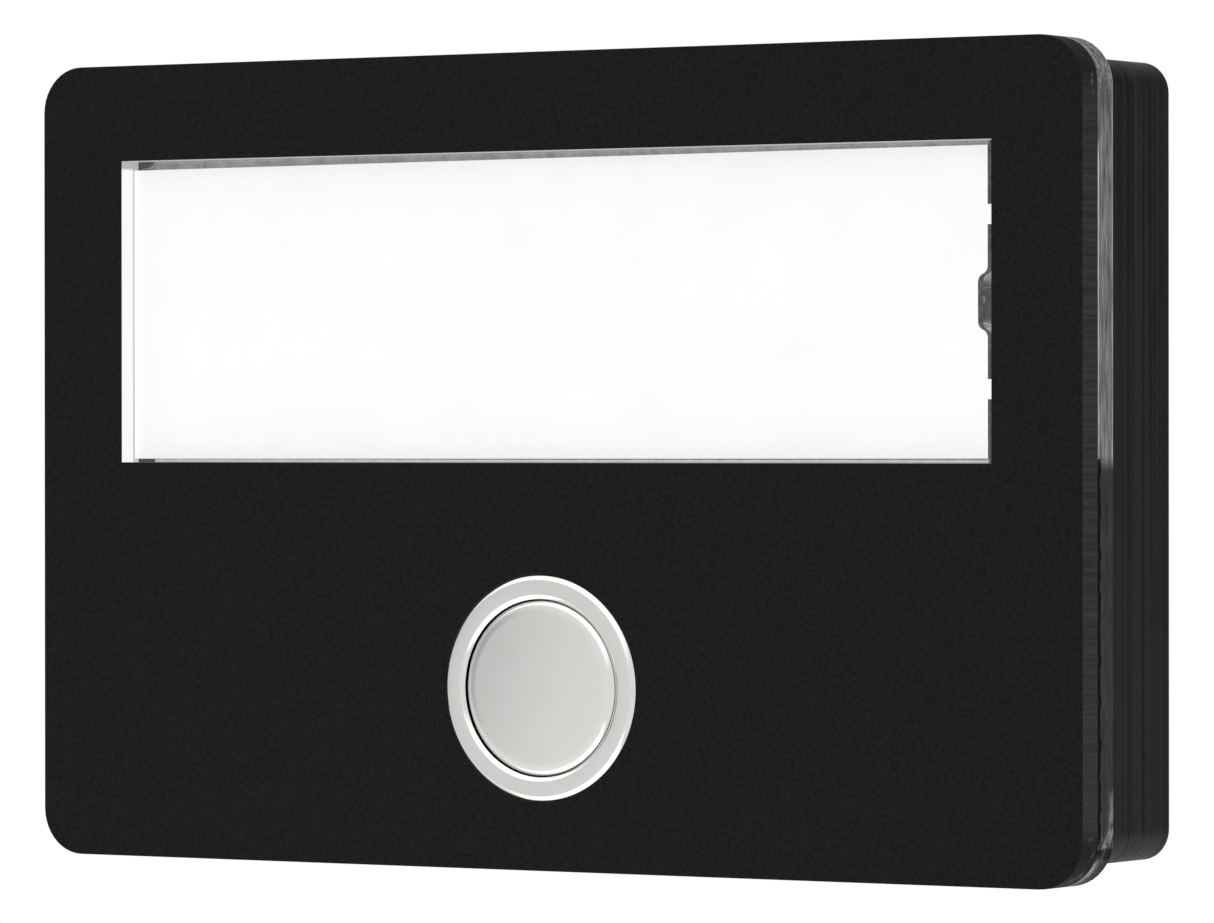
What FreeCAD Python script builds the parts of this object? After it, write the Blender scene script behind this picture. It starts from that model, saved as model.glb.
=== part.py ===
import FreeCAD, Part
import math
import os
from collections import namedtuple

import Sketcher

# Illuminated doorbell push: two clear plates with a black face, a lit name window and a round metal push,
# on a shallow casing that is locked to a wall base.
# The origin is the middle of the back face, on the wall. +Z is up, the front looks along -Y, and a "level"
# is a height above the wall, so a level of 5 lies at y = -5.

DIMENSIONS = {
    # front plates and the films on them
    "plate_width": 120.0,
    "plate_height": 80.0,
    "plate_corner": 4.6,
    "film_thick": 0.1,
    "front_thick": 2.9,
    "bond_thick": 0.1,
    "bond_inset": 0.3,
    "carrier_thick": 3.0,
    # name window and the strip that lies in it
    "window_width": 100.7,
    "window_height": 30.5,
    "window_margin": 9.65,
    "insert_thick": 1.0,
    "insert_side_gap": 0.15,
    "insert_play": 0.93,
    "insert_drop": 0.05,
    "insert_tilt": 0.055,
    "insert_taper": 0.33,
    "tab_length": 1.4,
    "tab_height": 1.9,
    "tab_spacing": 16.5,
    "notch_height": 5.75,
    "notch_floor": 4.8,
    "notch_depth": 1.05,
    "notch_round": 0.85,
    # casing
    "casing_side_inset": 2.3,
    "casing_end_inset": 1.7,
    "casing_corner": 3.0,
    "casing_wall": 2.5,
    "shell_depth": 10.1,
    "shell_front": 2.0,
    "tape_thick": 0.4,
    "tape_inset": 1.0,
    "base_depth": 5.4,
    "base_floor": 2.5,
    # wall fixings and the bell wire's inlet
    "slot_spacing": 60.0,
    "slot_length": 8.0,
    "slot_width": 4.4,
    "cable_bore": 6.5,
    "grommet_neck": 14.0,
    "grommet_lip": 1.3,
    "grommet_recess": 1.0,
    "grommet_sunk": 0.2,
    # tongues, hooks and lugs that join casing and base
    "lip_thick": 1.5,
    "lip_gap": 0.25,
    "lip_height": 5.5,
    "lip_length": 30.0,
    "hook_offset": 12.0,
    "hook_width": 10.0,
    "hook_height": 7.3,
    "hook_catch": 1.6,
    "catch_reach": 0.9,
    "catch_gap": 0.2,
    "lug_inset": 7.0,
    "lug_width": 8.0,
    "lug_deep": 7.0,
    "lock_level": 7.4,
    "lock_reach": 2.2,
    "lock_dia": 3.0,
    "lock_length": 6.0,
    "lock_hole": 3.4,
    "lock_recess": 0.2,
    "lock_socket": 1.5,
    "lock_relief": 1.5,
    "nut_insert_dia": 4.2,
    "nut_insert_length": 4.0,
    # light box
    "diffuser_thick": 0.3,
    "light_margin": 0.4,
    "frame_wall": 1.2,
    "frame_depth": 8.0,
    "frame_gap": 0.3,
    "ear_inset": 7.95,
    "ear_width": 8.0,
    "ear_length": 6.75,
    "ear_thick": 2.0,
    "ear_screw_drop": 3.45,
    "tongue_inset": 21.95,
    "tongue_width": 8.0,
    "tongue_gap": 0.4,
    "tongue_thick": 1.5,
    "ledge_length": 2.6,
    "ledge_gap": 0.1,
    "board_thick": 1.6,
    "board_edge": 0.3,
    "led_width": 3.5,
    "led_height": 2.8,
    "led_thick": 0.7,
    "resistor_length": 3.2,
    "resistor_width": 1.6,
    "resistor_thick": 0.6,
    "rectifier_width": 4.8,
    "rectifier_height": 4.0,
    "rectifier_thick": 2.4,
    "capacitor_width": 7.3,
    "capacitor_height": 4.3,
    "capacitor_thick": 2.8,
    # screws that hold the two boards
    "screw_dia": 2.0,
    "screw_hole": 2.4,
    "screw_length": 5.5,
    "screw_head_dia": 3.8,
    "screw_head": 1.3,
    "screw_socket": 1.8,
    "screw_slot": 0.45,
    "post_dia": 6.0,
    # connection board and terminal block
    "connect_width": 30.0,
    "connect_height": 15.0,
    "connect_gap": 8.5,
    "connect_rise": 3.3,
    "connect_post": 3.0,
    "pole_pitch": 3.5,
    "block_width": 15.5,
    "block_height": 6.6,
    "block_deep": 5.5,
    "block_shift": 1.25,
    "block_rise": 0.9,
    "cage_width": 2.6,
    "cage_height": 3.2,
    "cage_deep": 2.7,
    "cage_seat": 1.0,
    "clamp_dia": 1.6,
    "clamp_head": 2.4,
    "clamp_head_deep": 1.2,
    "clamp_slot": 0.4,
    "lead_dia": 1.2,
    "lamp_lead_shift": 3.0,
    "lamp_lead_pitch": 4.0,
    "lamp_lead_overlap": 6.0,
    "lead_bend": 2.5,
    "switch_lead_overlap": 5.5,
    # bell push
    "button_margin": 6.85,
    "cap_dia": 17.1,
    "cap_gap": 0.15,
    "cap_thick": 2.2,
    "rim_bevel": 0.45,
    "barrel_wall": 0.8,
    "barrel_gap": 0.1,
    "barrel_length": 13.3,
    "flange_width": 1.5,
    "flange_proud": 0.3,
    "flange_thick": 2.6,
    "flange_gap": 0.2,
    "thread_pitch": 1.0,
    "thread_deep": 0.35,
    "nut_extra": 2.5,
    "nut_thick": 3.0,
    "nut_gap": 0.2,
    "spring_room": 4.1,
    "spring_wire": 0.6,
    "spring_mean": 14.8,
    "spring_turns": 3.0,
    "spring_slack": 0.01,
    "stem_dia": 12.9,
    "stem_fit": 0.05,
    "stem_length": 8.1,
    "guide_length": 3.0,
    "seal_section": 1.2,
    "seal_inset": 0.6,
    "clip_thick": 0.7,
    "clip_dia": 14.2,
    "clip_groove": 10.4,
    "press_travel": 1.5,
    "rear_bore": 15.2,
    # switch works behind the cap
    "plug_length": 1.2,
    "switch_flange": 3.2,
    "chamber_dia": 9.0,
    "chamber_front": 0.8,
    "chamber_deep": 2.5,
    "plunger_dia": 4.0,
    "plunger_fit": 0.05,
    "bridge_dia": 7.0,
    "bridge_thick": 0.4,
    "bridge_room": 0.2,
    "contact_gap": 0.05,
    "contact_dia": 2.0,
    "contact_pitch": 4.4,
    "tag_width": 2.0,
    "tag_thick": 0.5,
    "tag_length": 2.4,
}

Disc = namedtuple("Disc", "x z diameter")
Slot = namedtuple("Slot", "x z length width")
doc = FreeCAD.newDocument("DoorbellPush")


# ---------------------------------------------------------------------------------------------- sizes

class Size:
    """A length that carries its number and the expression that ties it to the sheet."""

    def __init__(self, number, text):
        self.number = number
        self.text = text

    def joined(self, sign, other, number):
        return Size(number, f"({self.text} {sign} {size(other).text})")

    def __add__(self, other):
        return self.joined("+", other, self.number + size(other).number)

    def __sub__(self, other):
        return self.joined("-", other, self.number - size(other).number)

    def __mul__(self, other):
        return self.joined("*", other, self.number * size(other).number)

    def __truediv__(self, other):
        return self.joined("/", other, self.number / size(other).number)

    def __neg__(self):
        return Size(-self.number, f"(0 - {self.text})")


def size(value):
    """A plain number as a Size; a Size stays as it is."""
    return value if isinstance(value, Size) else Size(float(value), repr(float(value)))


def fill_sheet():
    """Write every driving dimension in the spreadsheet and give its cell the same name."""
    sheet = doc.addObject("Spreadsheet::Sheet", "Dimensions")
    for row, (alias, number) in enumerate(DIMENSIONS.items(), start=1):
        sheet.set(f"A{row}", alias)
        sheet.set(f"B{row}", str(number))
        sheet.setAlias(f"B{row}", alias)
    doc.recompute()
    return sheet


class Sizes:
    """Reads a driving dimension from the sheet by name."""

    def __init__(self, sheet):
        self.sheet = sheet

    def __getattr__(self, alias):
        return Size(float(getattr(self.sheet, alias)), f"Dimensions.{alias}")


D = Sizes(fill_sheet())

# levels above the wall
TAPE = D.base_depth + D.shell_depth
CARRIER = TAPE + D.tape_thick
BOND = CARRIER + D.carrier_thick
FRONT = BOND + D.bond_thick
FILM = FRONT + D.front_thick
FACE = FILM + D.film_thick
SHELL_INNER = TAPE - D.shell_front
DIFFUSER = CARRIER - D.diffuser_thick
LED_BOARD_FRONT = DIFFUSER - D.frame_depth
LED_BOARD = LED_BOARD_FRONT - D.board_thick
CONNECT_FRONT = SHELL_INNER - D.connect_post
CONNECT = CONNECT_FRONT - D.board_thick

# heights and half sizes
WINDOW_Z = D.plate_height / 2 - D.window_margin - D.window_height / 2
CASING_X = D.plate_width / 2 - D.casing_side_inset
CASING_Z = D.plate_height / 2 - D.casing_end_inset
INNER_X = CASING_X - D.casing_wall
INNER_Z = CASING_Z - D.casing_wall
FRAME_X = D.window_width / 2 + D.light_margin + D.frame_wall
FRAME_Z = D.window_height / 2 + D.light_margin + D.frame_wall
EAR_X = FRAME_X - D.ear_inset
EAR_Z = WINDOW_Z - FRAME_Z - D.ear_screw_drop
TONGUE_X = FRAME_X - D.tongue_inset
LED_PITCH = D.window_width / 6
LED_ROWS = D.window_height / 2
LUG_X = INNER_X - D.lug_inset

# bell push
CAP_BORE = D.cap_dia + D.cap_gap * 2
BARREL_DIA = CAP_BORE + D.barrel_wall * 2
FLANGE_DIA = BARREL_DIA + D.flange_width * 2
BUTTON_Z = FLANGE_DIA / 2 + D.button_margin - D.plate_height / 2
NUT_FLATS = BARREL_DIA + D.nut_extra
NUT_HOLE = NUT_FLATS / math.cos(math.radians(30)) + D.nut_gap * 2
GUIDE_BORE = D.stem_dia + D.stem_fit * 2
PUSH_FACE = FACE + D.flange_proud
CAP_BACK = PUSH_FACE - D.cap_thick
GUIDE_FRONT = CAP_BACK - D.spring_room
GUIDE_BACK = GUIDE_FRONT - D.guide_length
STEM_END = CAP_BACK - D.stem_length
BARREL_END = PUSH_FACE - D.barrel_length
SWITCH_FRONT = BARREL_END + D.plug_length
CHAMBER_FRONT = SWITCH_FRONT - D.chamber_front
CHAMBER_BACK = CHAMBER_FRONT - D.chamber_deep
SWITCH_BACK = BARREL_END - D.switch_flange
TAG_END = SWITCH_BACK - D.tag_length
BRIDGE_FRONT = CHAMBER_FRONT - D.bridge_room
BRIDGE_BACK = BRIDGE_FRONT - D.bridge_thick
CONTACT_FRONT = BRIDGE_BACK - D.press_travel - D.contact_gap

CONNECT_X = -(BARREL_DIA / 2 + D.connect_gap + D.connect_width / 2)
CONNECT_Z = BUTTON_Z + D.connect_rise


# --------------------------------------------------------------------------------- sketches and bodies

def vector(x, y):
    return FreeCAD.Vector(size(x).number, size(y).number, 0)


def hold(sketch, kind, geometry, point, distance):
    """Hold one point of a sketch at a distance from its origin, tied to the sheet."""
    rule = Sketcher.Constraint(kind, -1, 1, geometry, point, size(distance).number)
    index = sketch.addConstraint(rule)
    sketch.setExpression(f"Constraints[{index}]", size(distance).text)


def hold_point(sketch, geometry, point, x, y):
    hold(sketch, "DistanceX", geometry, point, x)
    hold(sketch, "DistanceY", geometry, point, y)


def draw_polygon(sketch, corners):
    """Straight-sided outline through the corners."""
    first = sketch.GeometryCount
    for here, after in zip(corners, corners[1:] + corners[:1]):
        sketch.addGeometry(Part.LineSegment(vector(*here), vector(*after)), False)
    for index, corner in enumerate(corners):
        before = first + (index - 1) % len(corners)
        sketch.addConstraint(Sketcher.Constraint("Coincident", before, 2, first + index, 1))
        hold_point(sketch, first + index, 1, *corner)


def draw_disc(sketch, disc):
    """Circle at its own place, with its diameter tied to the sheet."""
    diameter = size(disc.diameter)
    circle = Part.Circle(vector(disc.x, disc.z), FreeCAD.Vector(0, 0, 1), diameter.number / 2)
    index = sketch.addGeometry(circle, False)
    hold_point(sketch, index, 3, disc.x, disc.z)
    rule = sketch.addConstraint(Sketcher.Constraint("Diameter", index, diameter.number))
    sketch.setExpression(f"Constraints[{rule}]", diameter.text)


def draw_slot(sketch, slot):
    """Slot along X: two straight sides and two half-round ends."""
    reach = (slot.length - slot.width) / 2
    radius = slot.width / 2
    left, right = slot.x - reach, slot.x + reach
    low, high = slot.z - radius, slot.z + radius
    normal = FreeCAD.Vector(0, 0, 1)
    bottom = sketch.addGeometry(Part.LineSegment(vector(left, low), vector(right, low)), False)
    ends = []
    for centre, start in ((right, -math.pi / 2), (left, math.pi / 2)):
        circle = Part.Circle(vector(centre, slot.z), normal, radius.number)
        ends.append(sketch.addGeometry(Part.ArcOfCircle(circle, start, start + math.pi), False))
    top = sketch.addGeometry(Part.LineSegment(vector(right, high), vector(left, high)), False)
    for line, level, points in ((bottom, low, (left, right)), (top, high, (right, left))):
        hold_point(sketch, line, 1, points[0], level)
        hold_point(sketch, line, 2, points[1], level)
    joins = ((bottom, 2, ends[0], 1), (ends[0], 2, top, 1), (top, 2, ends[1], 1), (ends[1], 2, bottom, 1))
    for first, first_end, second, second_end in joins:
        sketch.addConstraint(Sketcher.Constraint("Coincident", first, first_end, second, second_end))
    hold(sketch, "DistanceX", ends[0], 3, right)
    hold(sketch, "DistanceX", ends[1], 3, left)


def rectangle(x, z, width, height):
    """Corners of a rectangle around its centre."""
    x, z = size(x), size(z)
    left, right = x - width / 2, x + width / 2
    low, high = z - height / 2, z + height / 2
    return [(left, low), (right, low), (right, high), (left, high)]


def hexagon(x, z, flats):
    """Corners of a hexagon with a flat at the top."""
    corner = flats / math.cos(math.radians(30)) / 2
    turns = [math.radians(60 * step) for step in range(6)]
    return [(size(x) + corner * math.cos(turn), size(z) + corner * math.sin(turn)) for turn in turns]


def new_body(label, x=0, y=0, z=0):
    """Body of one piece; its Placement holds the piece's own reference point."""
    body = doc.addObject("PartDesign::Body", label)
    body.Label = label
    for axis, distance in (("x", x), ("y", y), ("z", z)):
        body.setExpression(f"Placement.Base.{axis}", size(distance).text)
    return body


def new_sketch(body, role, offset, outlines):
    """Sketch on one of the body's own origin planes, moved along that plane's normal."""
    sketch = body.newObject("Sketcher::SketchObject", f"{body.Name}_sketch")
    plane = next(feature for feature in body.Origin.OriginFeatures if feature.Role == role)
    sketch.AttachmentSupport = [(plane, "")]
    sketch.MapMode = "FlatFace"
    sketch.setExpression("AttachmentOffset.Base.z", size(offset).text)
    for outline in outlines:
        if isinstance(outline, Disc):
            draw_disc(sketch, outline)
        elif isinstance(outline, Slot):
            draw_slot(sketch, outline)
        else:
            draw_polygon(sketch, outline)
    return sketch


def extruded(body, kind, role, offset, length, outlines):
    sketch = new_sketch(body, role, offset, outlines)
    feature = body.newObject(f"PartDesign::{kind}", f"{body.Name}_{kind.lower()}")
    feature.Profile = sketch
    feature.setExpression("Length", size(length).text)
    doc.recompute()
    return feature


def add(body, level, thick, *outlines):
    """Material from a level towards the front."""
    return extruded(body, "Pad", "XZ_Plane", level, thick, outlines)


def cut(body, level, deep, *outlines):
    """Room from a level back towards the wall."""
    return extruded(body, "Pocket", "XZ_Plane", level, deep, outlines)


def drill(body, level, deep, *outlines):
    """Room from a level towards the front."""
    pocket = extruded(body, "Pocket", "XZ_Plane", level, deep, outlines)
    pocket.Reversed = True
    doc.recompute()
    return pocket


def bore_up(body, z, deep, *outlines):
    """Room upwards from a height; a disc's second place is its level above the wall."""
    flat = []
    for outline in outlines:
        is_disc = isinstance(outline, Disc)
        flat.append(Disc(outline.x, -size(outline.z), outline.diameter) if is_disc else outline)
    pocket = extruded(body, "Pocket", "XY_Plane", z, deep, flat)
    pocket.Reversed = True
    doc.recompute()
    return pocket


def turned(body, points):
    """Piece turned about its own Y axis; each point is a radius and a level."""
    sketch = new_sketch(body, "XY_Plane", 0, [[(size(radius), -size(level)) for radius, level in points]])
    return revolved(body, sketch)


def revolved(body, sketch):
    feature = body.newObject("PartDesign::Revolution", f"{body.Name}_turned")
    feature.Profile = sketch
    feature.ReferenceAxis = (sketch, ["V_Axis"])
    feature.Angle = 360
    doc.recompute()
    return feature


def round_corners(body, feature, radius, corners=None):
    """Round the edges that run front to back: all of them, or those at the given |x|, |z|."""
    near = 1e-4
    names = []
    for index, edge in enumerate(feature.Shape.Edges, start=1):
        first, last = edge.Vertexes[0].Point, edge.Vertexes[-1].Point
        runs_back = math.hypot(first.x - last.x, first.z - last.z) < near < abs(first.y - last.y)
        misses = [math.hypot(abs(first.x) - x.number, abs(first.z) - z.number) for x, z in corners or ()]
        if runs_back and (corners is None or min(misses) < near):
            names.append(f"Edge{index}")
    fillet = body.newObject("PartDesign::Fillet", f"{body.Name}_rounded")
    fillet.Base = (feature, names)
    fillet.setExpression("Radius", size(radius).text)
    doc.recompute()
    return fillet


def block(label, x, level, z, width, thick, height):
    """Plain box: x and z are its middle, level its back face."""
    box = doc.addObject("Part::Box", label)
    box.Label = label
    corner = (size(x) - width / 2, -(size(level) + thick), size(z) - height / 2)
    for name, length in (("Length", width), ("Width", thick), ("Height", height)):
        box.setExpression(name, size(length).text)
    for axis, distance in zip("xyz", corner):
        box.setExpression(f"Placement.Base.{axis}", distance.text)
    return box


def group(label, pieces):
    """Equal pieces that share one node, each a solid of its own."""
    together = doc.addObject("Part::Compound", label)
    together.Label = label
    together.Links = pieces
    return together


# ---------------------------------------------------------------------------------------- front plates

def plate_outline(inset):
    return rectangle(0, 0, D.plate_width - size(inset) * 2, D.plate_height - size(inset) * 2)


def window_outline(margin=0):
    grow = size(margin) * 2
    return rectangle(0, WINDOW_Z, D.window_width + grow, D.window_height + grow)


def pierced_sheet(label, level, thick, inset):
    """Sheet of the plate's outline with the window and the push's flange cut out of it."""
    body = new_body(label)
    slab = add(body, level, thick, plate_outline(inset))
    round_corners(body, slab, D.plate_corner - inset)
    flange_hole = Disc(0, BUTTON_Z, FLANGE_DIA + D.flange_gap * 2)
    cut(body, level + thick, thick, window_outline(), flange_hole)
    return body


def carrier_plate():
    """Clear back plate: whole behind the window, bored only for the push's barrel."""
    body = new_body("carrier_plate")
    slab = add(body, CARRIER, D.carrier_thick, plate_outline(0))
    round_corners(body, slab, D.plate_corner)
    cut(body, BOND, D.carrier_thick, Disc(0, BUTTON_Z, BARREL_DIA + D.barrel_gap * 2))
    return body


def name_insert():
    """White name strip, two tabs and a finger notch at its right end, cut a little out of square."""
    body = new_body("name_insert", z=WINDOW_Z - D.insert_drop)
    body.setExpression("Placement.Rotation.Axis.y", "1")
    body.setExpression("Placement.Rotation.Axis.z", "0")
    body.setExpression("Placement.Rotation.Angle", (-D.insert_tilt).text)
    left = D.insert_side_gap - D.window_width / 2
    tip = D.window_width / 2 - D.insert_side_gap
    right = tip - D.tab_length
    top = (D.window_height - D.insert_play) / 2
    tab_in = (D.tab_spacing - D.tab_height) / 2
    tab_out = (D.tab_spacing + D.tab_height) / 2
    mouth, floor = D.notch_height / 2, D.notch_floor / 2
    upper = [(right - D.notch_depth, floor), (right, mouth), (right, tab_in), (tip, tab_in)]
    upper += [(tip, tab_out), (right, tab_out), (right, top)]
    lower = [(left, -top)] + [(x, -z) for x, z in reversed(upper)]
    upper.append((left, top - D.insert_taper))
    strip = add(body, BOND, D.insert_thick, upper + lower)
    round_corners(body, strip, D.notch_round, ((right, mouth), (right - D.notch_depth, floor)))
    return body


# --------------------------------------------------------------------------------------------- casing

def casing_outline():
    return rectangle(0, 0, CASING_X * 2, CASING_Z * 2)


def inner_outline():
    return rectangle(0, 0, INNER_X * 2, INNER_Z * 2)


def light_opening(extra=0):
    grow = (D.frame_gap + size(extra)) * 2
    return rectangle(0, WINDOW_Z, FRAME_X * 2 + grow, FRAME_Z * 2 + grow)


def shell_tape():
    """Double-sided mounting tape between carrier plate and casing."""
    body = new_body("shell_tape")
    inset = D.tape_inset * 2
    slab = add(body, TAPE, D.tape_thick, rectangle(0, 0, CASING_X * 2 - inset, CASING_Z * 2 - inset))
    round_corners(body, slab, D.casing_corner - D.tape_inset)
    cut(body, CARRIER, D.tape_thick, light_opening(D.ledge_gap), Disc(0, BUTTON_Z, NUT_HOLE + D.nut_gap))
    return body


def screw_places():
    """Middle, head level and post length of the four board screws."""
    frame_post = SHELL_INNER - LED_BOARD_FRONT - D.ear_thick
    half_x, half_z = D.connect_width / 2, D.connect_height / 2
    inset = D.screw_hole
    places = [(EAR_X * side, EAR_Z, LED_BOARD, frame_post) for side in (-1, 1)]
    places.append((CONNECT_X - half_x + inset, CONNECT_Z - half_z + inset, CONNECT, D.connect_post))
    places.append((CONNECT_X + half_x - inset, CONNECT_Z + half_z - inset, CONNECT, D.connect_post))
    return places


def housing_shell():
    """Black casing: front wall with openings for light box and push, four sides, posts and ledges."""
    body = new_body("housing_shell")
    slab = add(body, D.base_depth, D.shell_depth, casing_outline())
    round_corners(body, slab, D.casing_corner)
    drill(body, D.base_depth, D.shell_depth - D.shell_front, inner_outline())
    cut(body, TAPE, D.shell_front, light_opening(), Disc(0, BUTTON_Z, NUT_HOLE))
    for x, z, head, post in screw_places():
        add(body, SHELL_INNER - post, post, Disc(x, z, D.post_dia))
        hole = D.screw_length - (SHELL_INNER - post - head)
        drill(body, SHELL_INNER - post, hole, Disc(x, z, D.screw_dia))
    ledge_top = LED_BOARD_FRONT - D.ledge_gap
    ledge_z = INNER_Z - D.ledge_length / 2
    for side in (-1, 1):
        ledge = rectangle(TONGUE_X * side, ledge_z, D.tongue_width, D.ledge_length)
        add(body, ledge_top - D.tongue_thick, D.tongue_thick, ledge)
    hook_top = D.base_floor + D.hook_height + D.catch_gap
    room = D.hook_catch + D.catch_gap * 2
    reach = D.catch_reach + D.catch_gap
    width = D.hook_width + D.catch_gap * 4
    for side in (-1, 1):
        cut(body, hook_top, room, rectangle(D.hook_offset * side, INNER_Z + reach / 2, width, reach))
    for side in (-1, 1):
        hole = Disc(LUG_X * side, D.lock_level, D.lock_hole)
        bore_up(body, -CASING_Z, D.casing_wall, hole)
    return body


def wall_base():
    """Rear part on the wall: floor with slots, rim, locating lips, top hooks and locking lugs."""
    body = new_body("wall_base")
    slab = add(body, 0, D.base_depth, casing_outline())
    round_corners(body, slab, D.casing_corner)
    cut(body, D.base_depth, D.base_depth - D.base_floor, inner_outline())
    slots = [Slot(D.slot_spacing / 2 * side, size(0), D.slot_length, D.slot_width) for side in (-1, 1)]
    cut(body, D.base_floor, D.base_floor, *slots)
    cut(body, D.base_floor, D.base_floor, Disc(0, 0, D.grommet_neck))
    cut(body, D.grommet_recess, D.grommet_recess, Disc(0, 0, D.grommet_neck + D.grommet_lip * 2))
    lip_x = INNER_X - D.lip_gap - D.lip_thick / 2
    hook_z = INNER_Z - D.lip_gap - D.lip_thick / 2
    for side in (-1, 1):
        add(body, D.base_floor, D.lip_height, rectangle(lip_x * side, 0, D.lip_thick, D.lip_length))
    for side in (-1, 1):
        x = D.hook_offset * side
        add(body, D.base_floor, D.hook_height, rectangle(x, hook_z, D.hook_width, D.lip_thick))
        reach = D.catch_reach + D.lip_gap
        catch = rectangle(x, INNER_Z - D.lip_gap + reach / 2, D.hook_width, reach)
        add(body, D.base_floor + D.hook_height - D.hook_catch, D.hook_catch, catch)
    for side in (-1, 1):
        x, z = LUG_X * side, D.lip_gap - INNER_Z + D.lug_deep / 2
        lug_height = D.lock_level + D.lock_reach - D.base_floor
        add(body, D.base_floor, lug_height, rectangle(x, z, D.lug_width, D.lug_deep))
    for side in (-1, 1):
        start = D.lip_gap - INNER_Z
        bore_up(body, start, D.nut_insert_length, Disc(LUG_X * side, D.lock_level, D.nut_insert_dia))
        relief = D.nut_insert_length + D.lock_relief
        bore_up(body, start, relief, Disc(LUG_X * side, D.lock_level, D.lock_dia))
    return body


def cable_grommet():
    """Rubber grommet in the base's floor that the bell wire comes through."""
    body = new_body("cable_grommet")
    bore, neck = D.cable_bore / 2, D.grommet_neck / 2
    lip = neck + D.grommet_lip - D.lip_gap
    back = D.grommet_sunk
    nose = D.base_floor + D.grommet_recess
    points = [(bore, back), (lip, back), (lip, D.grommet_recess), (neck, D.grommet_recess)]
    points += [(neck, D.base_floor), (lip, D.base_floor), (bore + D.grommet_recess, nose), (bore, nose)]
    turned(body, points)
    return body


def upright(label, x, z, points):
    """Piece turned about a vertical axis through x at the lock screws' level."""
    body = new_body(label, x=x, y=-D.lock_level, z=z)
    revolved(body, new_sketch(body, "XZ_Plane", 0, [points]))
    return body


def lock_screws():
    """Two grub screws, put in from below, each with a hexagon socket."""
    screws = []
    radius, length = D.lock_dia / 2, D.lock_length
    for number, side in enumerate((-1, 1), start=1):
        points = [(0, 0), (radius, 0), (radius, length - D.lock_recess)]
        points += [(radius - D.lock_recess, length), (0, length)]
        body = upright(f"lock_screw_{number}", LUG_X * side, D.lock_recess - CASING_Z, points)
        bore_up(body, 0, D.lock_socket, hexagon(0, 0, D.lock_socket))
        screws.append(body)
    return group("lock_screws", screws)


def lock_inserts():
    """Brass threaded inserts in the base's lugs."""
    inserts = []
    inner, outer, length = D.lock_dia / 2, D.nut_insert_dia / 2, D.nut_insert_length
    for number, side in enumerate((-1, 1), start=1):
        points = [(inner, 0), (outer, 0), (outer, length), (inner, length)]
        inserts.append(upright(f"lock_insert_{number}", LUG_X * side, D.lip_gap - INNER_Z, points))
    return group("lock_inserts", inserts)


# ------------------------------------------------------------------------------------------- light box

def diffuser_film():
    """White film that spreads the light, on the back of the carrier plate behind the window."""
    return block("diffuser_film", 0, DIFFUSER, WINDOW_Z, FRAME_X * 2, D.diffuser_thick, FRAME_Z * 2)


def light_frame():
    """White open frame that carries the light to the window, with two screw ears and two tongues."""
    body = new_body("light_frame")
    add(body, LED_BOARD_FRONT, D.frame_depth, rectangle(0, WINDOW_Z, FRAME_X * 2, FRAME_Z * 2))
    cut(body, DIFFUSER, D.frame_depth, window_outline(D.light_margin))
    ear_z = WINDOW_Z - FRAME_Z - D.ear_length / 2
    tongue_length = INNER_Z - D.tongue_gap - WINDOW_Z - FRAME_Z
    tongue_z = INNER_Z - D.tongue_gap - tongue_length / 2
    for side in (-1, 1):
        ear = rectangle(EAR_X * side, ear_z, D.ear_width, D.ear_length)
        tongue = rectangle(TONGUE_X * side, tongue_z, D.tongue_width, tongue_length)
        add(body, LED_BOARD_FRONT, D.ear_thick, ear)
        add(body, LED_BOARD_FRONT, D.tongue_thick, tongue)
    holes = [Disc(EAR_X * side, EAR_Z, D.screw_hole) for side in (-1, 1)]
    cut(body, LED_BOARD_FRONT + D.ear_thick, D.ear_thick, *holes)
    return body


def led_board():
    """Circuit board across the back of the light frame, down to the ears."""
    body = new_body("led_board")
    top = WINDOW_Z + FRAME_Z - D.board_edge
    bottom = WINDOW_Z - FRAME_Z - D.ear_length + D.board_edge
    width = FRAME_X * 2 - D.board_edge * 2
    add(body, LED_BOARD, D.board_thick, rectangle(0, (top + bottom) / 2, width, top - bottom))
    holes = [Disc(EAR_X * side, EAR_Z, D.screw_hole) for side in (-1, 1)]
    cut(body, LED_BOARD_FRONT, D.board_thick, *holes)
    return body


def leds():
    """Two rows of white light-emitting diodes."""
    pieces = []
    columns, rows = (-2.5, -1.5, -0.5, 0.5, 1.5, 2.5), (-0.5, 0.5)
    for row in rows:
        for column in columns:
            x, z = LED_PITCH * column, WINDOW_Z + LED_ROWS * row
            name = f"led_{len(pieces) + 1}"
            pieces.append(block(name, x, LED_BOARD_FRONT, z, D.led_width, D.led_thick, D.led_height))
    return group("leds", pieces)


def board_parts():
    """Resistors, rectifier and capacitor on the back of the light board."""
    resistors = []
    for number, column in enumerate((-1.5, -0.5, 0.5, 1.5), start=1):
        x, level = LED_PITCH * column, LED_BOARD - D.resistor_thick
        size_x, size_z = D.resistor_length, D.resistor_width
        z = WINDOW_Z + LED_ROWS / 2
        resistors.append(block(f"resistor_{number}", x, level, z, size_x, D.resistor_thick, size_z))
    level = LED_BOARD - D.rectifier_thick
    rectifier = block("bridge_rectifier", -LED_PITCH / 2, level, WINDOW_Z,
                      D.rectifier_width, D.rectifier_thick, D.rectifier_height)
    level = LED_BOARD - D.capacitor_thick
    capacitor = block("smoothing_capacitor", LED_PITCH / 2, level, WINDOW_Z,
                      D.capacitor_width, D.capacitor_thick, D.capacitor_height)
    return [group("led_resistors", resistors), rectifier, capacitor]


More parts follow.
